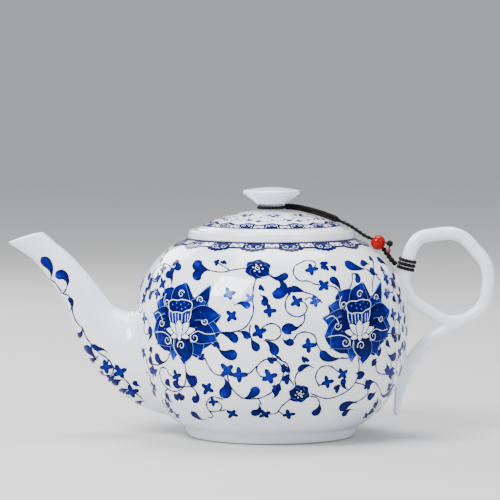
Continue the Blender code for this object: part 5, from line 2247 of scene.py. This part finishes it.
    SPRIGS = (
        (25.6, 79.4, 130, 1.0), (28.6, 77.8, 35, 0.8), (-24.6, 80.8, 150, 0.8), (-22.6, 80.4, 60, 0.7),
        (9.4, 67.8, 165, 0.8), (-24.6, 43.2, 195, 0.9), (7.6, 32.0, 215, 1.0), (8.6, 26.0, 165, 1.0),
        (0.4, 36.6, 255, 0.9), (2.2, 21.2, 50, 0.9), (-33.4, 37.4, 300, 0.8), (16.4, 36.4, 230, 0.8),
        (-3.8, 69.6, 200, 0.7), (26.4, 79.2, 200, 0.8), (32.0, 21.4, 150, 0.9),
    )
    SIDE_STARS = (
        # degrees round from the front, height, size, turn
        (63, 76, 2.2, 20), (70, 66, 2.3, 50), (66, 57, 2.2, 10), (77, 50, 2.2, 30), (68, 41, 2.3, 60),
        (76, 32, 2.2, 15), (66, 25, 2.2, 40), (58, 69, 2.0, 0), (60, 33, 2.2, 25), (83, 72, 2.2, 45),
        (84, 24, 2.1, 20), (59, 12, 2.0, 35), (74, 13, 2.0, 10),
    )
    SIDE_LEAVES = (
        # degrees, height, direction, length, width
        (66, 70, 60, 6, 2.6), (74, 60, 250, 6, 2.6), (62, 47, 100, 7, 3.0), (72, 46, 300, 6, 2.6),
        (63, 29, 60, 6, 2.6), (72, 24, 200, 6, 2.6), (80, 41, 110, 6, 2.6), (79, 78, 200, 6, 2.6),
        (57, 78, 140, 6, 2.6), (82, 58, 70, 6, 2.8), (66, 14, 160, 6, 2.4), (80, 18, 40, 5, 2.4),
        (58, 21, 250, 6, 2.8),
    )
    SIDE_LOOPS = (
        # degrees, height, radius, start, sweep
        (65, 73, 4.4, 200, 300), (72, 63, 4.2, 20, -290), (64, 53, 4.2, 90, 300), (73, 40, 4.6, 240, -300),
        (64, 37, 4.2, 120, 290), (70, 29, 4.4, 300, -300), (81, 66, 4.2, 60, 290), (82, 33, 4.2, 200, -290),
        (62, 18, 3.8, 160, 280), (77, 19, 3.8, 20, -290),
    )

    def __init__(self, skin: Skin) -> None:
        """Keeps the belly's skin."""
        self.skin = skin

    def flowers(self) -> Sheet:
        """The lotuses and blossoms."""
        sheet = Sheet()
        brush = Brush(sheet)
        for angle, height in self.LOTUSES:
            x, y = self.skin.turned(angle, height)
            Lotus().draw(brush.at(x, y))
        for x, z, turn, size in self.BLOSSOMS:
            place = self.skin.seen([(x, z)])[0]
            Blossom().draw(brush.at(*place, turn), size)
        return sheet

    def foliage(self, sides: Callable) -> Sheet:
        """Stars, leaves, sprigs and vines, with those near the spout and the handle where `sides` allows.

        Args:
            sides: a function of degrees and height that says where marks may be.

        Returns:
            The sheet.
        """
        sheet = Sheet()
        brush = Brush(sheet)
        for x, z, size, turn, tone in self.STARS + self.EDGE_STARS:
            brush.star(*self.skin.seen([(x, z)])[0], size, turn, tone)
        for points, width, tone in self.LEAVES + self.EDGE_LEAVES:
            brush.leaf(self.skin.seen(points), width, tone)
        for x, z, turn, size in self.SPRIGS:
            brush.sprig(*self.skin.seen([(x, z)])[0], turn, size)
        for points in self.VINES + self.EDGE_VINES:
            brush.line(self.skin.seen(points))
        for side in (-1, 1):
            for degrees, height, size, turn in self.SIDE_STARS:
                if sides(side * degrees, height):
                    brush.star(*self.skin.turned(side * degrees, height), size, turn)
            for degrees, height, way, length, width in self.SIDE_LEAVES:
                if sides(side * degrees, height):
                    x, y = self.skin.turned(side * degrees, height)
                    a = math.radians(way if side > 0 else 180 - way)
                    c, s = math.cos(a) * length, math.sin(a) * length
                    bow = 0.28 * side
                    middle = (x + c * 0.5 - s * bow, y + s * 0.5 + c * bow)
                    brush.leaf([(x, y), middle, (x + c, y + s)], width, 0.5)
            for degrees, height, radius, start, sweep in self.SIDE_LOOPS:
                if sides(side * degrees, height):
                    x, y = self.skin.turned(side * degrees, height)
                    brush.curl(x, y, radius, start if side > 0 else 180 - start, sweep * side)
        return sheet


class Border:
    """A navy band of scalloped heads with white clouds in them and white panels between them."""

    HEADS = 16
    EDGE = (
        # the scalloped edge over half a pitch, from a panel's middle to a head's tip
        (-1.0, 0.62), (-0.76, 0.62), (-0.64, 0.68), (-0.52, 0.82), (-0.38, 0.78), (-0.26, 0.92),
        (-0.12, 0.9), (0.0, 1.0),
    )
    CLOUDS = (
        ((-0.44, 0.38), (-0.38, 0.62), (-0.22, 0.66), (-0.14, 0.50), (-0.22, 0.36), (-0.30, 0.48)),
        ((-0.12, 0.74), (0.0, 0.66), (0.12, 0.74)),
    )

    BLOCKS = (
        # the white panel and its two marks: near and far side, top, foot, ink, tone, layer
        (0.62, 1.0, 0.10, 0.50, Ink.RESERVE, 1.0, 14),
        (0.74, 0.86, 0.30, 0.46, Ink.WASH, 0.2, 16),
        (0.90, 1.0, 0.12, 0.22, Ink.WASH, 0.2, 16),
    )

    def __init__(self, skin: Skin, foot: float, height: float, points_down: bool, phase: float) -> None:
        """Keeps the skin, the band's foot and height, which way its heads point and where they start."""
        self.skin, self.foot, self.height = skin, foot, height
        self.points_down, self.phase = points_down, phase
        self.middle = float(np.interp((foot + height / 2) * MM, skin.length, skin.line[:, 0])) / MM
        self.pitch = 2 * math.pi * self.middle / self.HEADS

    def spots(self, i: int, pairs: Points) -> list:
        """Band points of head `i`: shares of half a pitch across and of the height from the straight edge.

        Args:
            i: which head.
            pairs: the shares.

        Returns:
            A list of pairs in millimetres.
        """
        start = self.foot + (self.height if self.points_down else 0.0)
        way = -self.height if self.points_down else self.height
        return [((i + self.phase + x / 2) * self.pitch, start + way * y) for x, y in pairs]

    def head(self, brush: Brush, i: int) -> None:
        """One head with half a panel to either side.

        Args:
            brush: the brush.
            i: which head.
        """
        edge = through(self.spots(i, self.EDGE + tuple((-x, y) for x, y in self.EDGE[-2::-1])), 0.5)
        base = np.array(self.spots(i, [(1.0 - 0.25 * step, 0.0) for step in range(9)]))
        middle = self.spots(i, ((0.0, 0.35),))[0]
        brush.fan(Ink.WASH, middle, np.vstack([edge, base]), 0.12, 6, rim=0.06, rings=4)
        for side in (1, -1):
            brush.line(self.spots(i, [(side * x, y) for x, y in self.EDGE]), 0.90, 12, Ink.WASH, 0.0)
        for side in (-1, 1):
            for cloud in self.CLOUDS[: 1 if side > 0 else 2]:
                brush.line(self.spots(i, [(x * -side, y) for x, y in cloud]), 0.30, 20, Ink.RESERVE)
            for near, far, top, low, ink, tone, layer in self.BLOCKS:
                corners = [(side * x, y) for x, y in ((near, top), (far, top), (far, low), (near, low))]
                corners = self.spots(i, corners)
                brush.fan(ink, np.mean(corners, axis=0), corners, tone, layer, rings=1)
            brush.dot(*self.spots(i, ((side * 0.46, 0.16),))[0], 0.30, Ink.RESERVE, 1.0, 20)
        line = self.spots(i, [(x, 0.02) for x in (-1.0, -0.5, 0.0, 0.5, 1.0)])
        brush.ribbon(Ink.WASH, line, np.full(5, 0.48), np.full(5, 0.0), 22, across=1)

    def sheet(self) -> Sheet:
        """The band's marks, drawn on a strip whose x is the angle times the middle radius."""
        sheet = Sheet()
        for i in range(self.HEADS):
            self.head(Brush(sheet), i)
        return sheet

    def wrap(self, points: Array, lift: Array) -> Array:
        """Lays the strip on the skin, keeping each mark at its own angle."""
        return self.skin.wrap_strip(points, lift, self.middle)


class DomeScrolls:
    """Thin leafy scrolls that run round the upper dome."""

    REPEATS = 8
    VINES = (
        ((-8.0, 3.0), (-5.0, 5.4), (-1.6, 5.0), (0.6, 2.6), (3.6, 1.6), (6.0, 3.4), (5.4, 6.0), (3.0, 6.4)),
        ((0.6, 2.6), (-1.0, 0.8), (-3.4, 1.2)), ((-5.0, 5.4), (-6.2, 8.0), (-4.2, 9.4), (-2.6, 8.0)),
    )
    LEAVES = (
        ((3.0, 6.4), (1.2, 7.2), (0.4, 9.0)), ((-3.4, 1.2), (-5.0, 0.9), (-6.2, 1.8)),
        ((6.0, 3.4), (7.4, 2.2), (7.6, 0.8)), ((-2.6, 8.0), (-1.4, 9.2), (-1.6, 10.8)),
    )

    def __init__(self, skin: Skin, foot: float) -> None:
        """Keeps the dome's skin and where the scrolls start along it."""
        self.skin, self.foot = skin, foot
        self.middle = float(np.interp((foot + 5) * MM, skin.length, skin.line[:, 0])) / MM

    def sheet(self) -> Sheet:
        """The scrolls' marks on a strip."""
        sheet = Sheet()
        brush = Brush(sheet)
        pitch = 2 * math.pi * self.middle / self.REPEATS
        for i in range(self.REPEATS):
            brush.at(pitch * i, self.foot, scale=pitch / 17.0)
            for points in self.VINES:
                brush.line(points, 0.42)
            for points in self.LEAVES:
                brush.leaf(points, 2.0, 0.35, 0.4)
            brush.star(3.4, 9.6, 1.6, 30 * i, 0.3)
        return sheet

    def wrap(self, points: Array, lift: Array) -> Array:
        """Lays the strip on the skin, keeping each mark at its own angle."""
        return self.skin.wrap_strip(points, lift, self.middle)


class SpoutPattern:
    """Teardrops, a tendril and small flowers down the side of the spout."""

    LEAVES = (
        (((-103.3, 73.4), (-102.8, 77.2), (-104.2, 80.6), (-107.6, 84.0)), 3.354, 0.62),
        (((-95.8, 69.2), (-95.2, 73.0), (-97.6, 76.0), (-101.0, 74.8)), 3.276, 0.62),
        (((-94.4, 58.4), (-93.2, 60.8), (-93.4, 63.4), (-95.0, 65.2)), 1.716, 0.4),
        (((-88.2, 51.0), (-88.8, 48.6), (-90.2, 47.2), (-91.8, 47.4)), 2.184, 0.4),
        (((-81.6, 36.0), (-83.6, 38.6), (-85.8, 40.8), (-88.0, 42.2)), 2.808, 0.5),
        (((-80.6, 38.2), (-82.4, 36.6), (-84.4, 35.4), (-86.0, 35.0)), 2.028, 0.4),
        (((-76.0, 40.0), (-78.4, 41.4), (-81.4, 41.8), (-83.6, 43.6)), 1.872, 0.4),
        (((-77.6, 28.6), (-79.4, 29.2), (-80.4, 30.6)), 2.184, 0.35),
        (((-69.2, 27.4), (-71.0, 26.8), (-72.8, 25.6), (-73.8, 23.8)), 2.496, 0.45),
        (((-65.8, 22.6), (-68.2, 22.2), (-70.2, 20.8), (-71.0, 19.0)), 2.496, 0.45),
        (((-66.0, 18.4), (-67.8, 17.8), (-68.8, 16.6)), 1.872, 0.35),
        (((-59.2, 17.2), (-61.0, 16.6), (-62.6, 15.2), (-63.2, 13.6)), 2.34, 0.4),
        (((-60.8, 24.4), (-62.8, 25.2), (-64.2, 27.0)), 1.872, 0.4),
    )
    STARS = (
        (-77.1, 33.0, 2.6, 10, 0.45), (-70.6, 31.0, 2.7, 30, 0.45), (-65.2, 21.4, 2.6, 20, 0.4),
        (-75.0, 27.2, 2.0, 50, 0.35),
    )
    VINES = (
        ((-103.3, 73.4), (-101.4, 72.2), (-99.4, 69.6), (-97.6, 67.1), (-95.8, 69.2)),
        ((-97.6, 67.1), (-94.8, 66.0), (-92.8, 62.6), (-93.0, 58.6), (-91.0, 53.6), (-88.2, 51.0)),
        ((-88.2, 51.0), (-86.6, 47.0), (-84.2, 43.8), (-80.6, 40.0), (-76.0, 36.8), (-73.4, 33.0),
         (-70.6, 31.0)),
        ((-84.2, 43.8), (-83.6, 39.8), (-81.6, 36.0)), ((-76.0, 36.8), (-76.4, 34.8), (-77.1, 33.0)),
        ((-73.4, 33.0), (-74.4, 29.6), (-77.6, 28.6)),
        ((-70.6, 31.0), (-68.8, 28.0), (-66.0, 24.8), (-65.2, 21.4)),
        ((-65.2, 21.4), (-62.4, 20.2), (-60.2, 18.2)),
    )

    def sheet(self) -> Sheet:
        """The marks, placed as they show from the side."""
        sheet = Sheet()
        brush = Brush(sheet)
        for points, width, tone in self.LEAVES:
            brush.leaf(points, width, tone)
        for x, z, size, turn, tone in self.STARS:
            brush.star(x, z, size, turn, tone)
        for points in self.VINES:
            brush.line(points)
        return sheet


class Painting:
    """Every painted area of the pot, its lid and its spout."""

    # How far round the belly marks may go, in degrees from the middle of its front or back.
    SPOUT_SIDE = 90 - math.degrees(math.atan2(20, 62))
    FAR_SIDE = 88
    HANDLE_SIDE = 80
    # The bands' places and heights along the skin, in millimetres.
    SHOULDER_DROP, SHOULDER_HEIGHT = 8.3, 7.8
    DOME_FOOT, DOME_HEIGHT = 0.1, 5.6
    SCROLL_FOOT = 7.4

    def __init__(self, pot: Pot, lid: Lid, spout_object: Obj) -> None:
        """Keeps the surfaces that are painted."""
        self.pot, self.lid = pot, lid
        self.tree = BVHTree.FromObject(spout_object, bpy.context.evaluated_depsgraph_get())

    def drop(self, points: Array, lifts: Array, shop: Workshop, side: float) -> Array:
        """Drops marks straight onto one side of the spout.

        Args:
            points: pairs of millimetres across from the pot's axis and up from the table.
            lifts: how far above the skin each point lies, in metres.
            shop: the workshop.
            side: -1 for the front, 1 for the back.

        Returns:
            An array of points round the pot's axis, in metres.
        """
        made = []
        for (x, z), lift in zip(points, lifts):
            start = Vector((x * MM + shop.axis_x, side * 0.06, z * MM))
            hit, normal, _, _ = self.tree.ray_cast(start, Vector((0, -side, 0)))
            if hit is None:
                hit, normal, _, _ = self.tree.find_nearest(Vector((start.x, side * 0.002, start.z)))
            if normal.y * side < 0:
                normal = -normal
            spot = hit + normal * lift
            made.append((spot.x - shop.axis_x, spot.y, spot.z))
        return np.array(made)

    @classmethod
    def clears(cls, degrees: float, height: float, mirrored: bool) -> bool:
        """Whether a mark keeps clear of the spout and the handle.

        Args:
            degrees: how far round from the middle of its half of the belly.
            height: how far above the table, in millimetres.
            mirrored: True on the back half.

        Returns:
            True where the mark may be painted.
        """
        degrees = -degrees if mirrored else degrees
        if degrees < 0:
            return -degrees < (cls.SPOUT_SIDE if 8 < height < 62 else cls.FAR_SIDE)
        return degrees < cls.HANDLE_SIDE

    def build(self, shop: Workshop, palette: Palette) -> None:
        """Lays every area."""
        belly = BellyPattern(self.pot.skin)
        for name, turn in (("front", 0.0), ("back", math.pi)):
            surface = partial(self.pot.skin.wrap, turn=turn)
            allowed = partial(self.clears, mirrored=turn > 0)
            belly.flowers().lay(shop, palette, f"lotus_{name}", Part.POT, surface)
            belly.foliage(allowed).lay(shop, palette, f"scroll_{name}", Part.POT, surface)
        top = float(self.pot.skin.length[-1]) / MM
        band = Border(self.pot.skin, top - self.SHOULDER_DROP, self.SHOULDER_HEIGHT, True, 0.5)
        band.sheet().lay(shop, palette, "shoulder_border", Part.POT, band.wrap)
        band = Border(self.lid.skin, self.DOME_FOOT, self.DOME_HEIGHT, False, 0.0)
        band.sheet().lay(shop, palette, "dome_border", Part.LID, band.wrap)
        scrolls = DomeScrolls(self.lid.skin, self.SCROLL_FOOT)
        scrolls.sheet().lay(shop, palette, "dome_scrolls", Part.LID, scrolls.wrap)
        for name, side in (("front", -1.0), ("back", 1.0)):
            surface = partial(self.drop, shop=shop, side=side)
            SpoutPattern().sheet().lay(shop, palette, f"spout_scroll_{name}", Part.POT, surface)


# ---------------------------------------------------------------- studio


@dataclass(frozen=True)
class Lamp:
    """A soft square light: where it stands, what it lights, its size, power and colour."""

    name: str
    place: tuple
    size: float
    power: float
    colour: tuple = (1.0, 1.0, 1.0)


@dataclass(frozen=True)
class StudioSize:
    """Camera, floor and lights."""

    distance: float = EYE_DISTANCE
    height: float = EYE_HEIGHT
    target: tuple = (-0.0006, 0.0, 0.0870)
    view_width: float = 0.2345
    sensor: float = 36.0
    floor: float = 6.0
    air: float = 0.68
    horizon_share: float = 0.74
    sky_share: float = 1.08
    lamps: tuple = (
        Lamp("key_light", (-0.60, -0.65, 0.90), 0.55, 25.0, (1.0, 0.99, 0.97)),
        Lamp("fill_light", (0.80, -0.75, 0.50), 0.60, 4.0, (0.95, 0.98, 1.0)),
        Lamp("top_light", (0.05, 0.20, 1.10), 0.70, 13.0, (0.97, 0.98, 1.0)),
        Lamp("rim_light", (-0.45, 0.75, 0.55), 0.45, 5.0, (1.0, 0.98, 0.96)),
    )


class Studio:
    """Plain floor, soft lights and the camera."""

    def __init__(self, size: StudioSize = StudioSize()) -> None:
        """Keeps the sizes."""
        self.size = size

    def camera(self) -> None:
        """Stands the camera before the pot, level with its lid and looking a little down."""
        s = self.size
        bpy.ops.object.camera_add(location=(s.target[0], -s.distance, s.height))
        camera = bpy.context.active_object
        camera.name = "front_camera"
        way = Vector(s.target) - camera.location
        camera.rotation_euler = way.to_track_quat("-Z", "Y").to_euler()
        camera.data.sensor_width = s.sensor
        camera.data.lens = s.sensor * way.length / s.view_width
        camera.data.clip_start, camera.data.clip_end = 0.05, 20.0
        camera.data.dof.use_dof = False
        bpy.context.scene.camera = camera

    def floor(self, palette: Palette) -> None:
        """Lays the pale floor."""
        bpy.ops.mesh.primitive_plane_add(size=self.size.floor, location=(0, 0, 0))
        floor = bpy.context.active_object
        floor.name = "studio_floor"
        floor.data.materials.append(palette.floor)

    def lights(self) -> None:
        """Hangs the lamps and sets the air."""
        for lamp in self.size.lamps:
            bpy.ops.object.light_add(type="AREA", location=lamp.place)
            light = bpy.context.active_object
            light.name = lamp.name
            light.data.shape = "SQUARE"
            light.data.size, light.data.energy, light.data.color = lamp.size, lamp.power, lamp.colour
            way = Vector((0, 0, 0.05)) - light.location
            light.rotation_euler = way.to_track_quat("-Z", "Y").to_euler()
        world = bpy.data.worlds.new("studio_air")
        world.use_nodes = True
        air = world.node_tree.nodes["Background"]
        air.inputs["Color"].default_value = (0.84, 0.86, 0.90, 1)
        paths = world.node_tree.nodes.new("ShaderNodeTexCoord")
        parts = world.node_tree.nodes.new("ShaderNodeSeparateXYZ")
        world.node_tree.links.new(paths.outputs["Generated"], parts.inputs["Vector"])
        dim, bright = self.size.air * self.size.horizon_share, self.size.air * self.size.sky_share
        rise = Finish.remap(world.node_tree, parts.outputs["Z"], 0.02, 0.35, dim, bright)
        world.node_tree.links.new(rise, air.inputs["Strength"])
        bpy.context.scene.world = world

    def build(self, palette: Palette) -> None:
        """Makes the whole studio."""
        self.camera()
        self.floor(palette)
        self.lights()


def main() -> None:
    """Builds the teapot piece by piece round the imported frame."""
    logging.basicConfig(level=logging.INFO, format="%(name)s: %(message)s")
    for obj in list(bpy.data.objects):
        bpy.data.objects.remove(obj, do_unlink=True)
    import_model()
    low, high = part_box("pot_body")
    shop = Workshop((low.x + high.x) / 2)
    palette = Palette()
    pot = Pot()
    spout, handle, lid = Spout(pot), Handle(pot), Lid(pot)
    Studio().build(palette)
    Tether(lid, handle).build(shop, palette)
    pot.build(shop, palette)
    spout_object = spout.build(shop, palette)
    handle.build(shop, palette)
    lid.build(shop, palette)
    Knob(lid).build(shop, palette)
    Painting(pot, lid, spout_object).build(shop, palette)


if __name__ == "__main__":
    main()
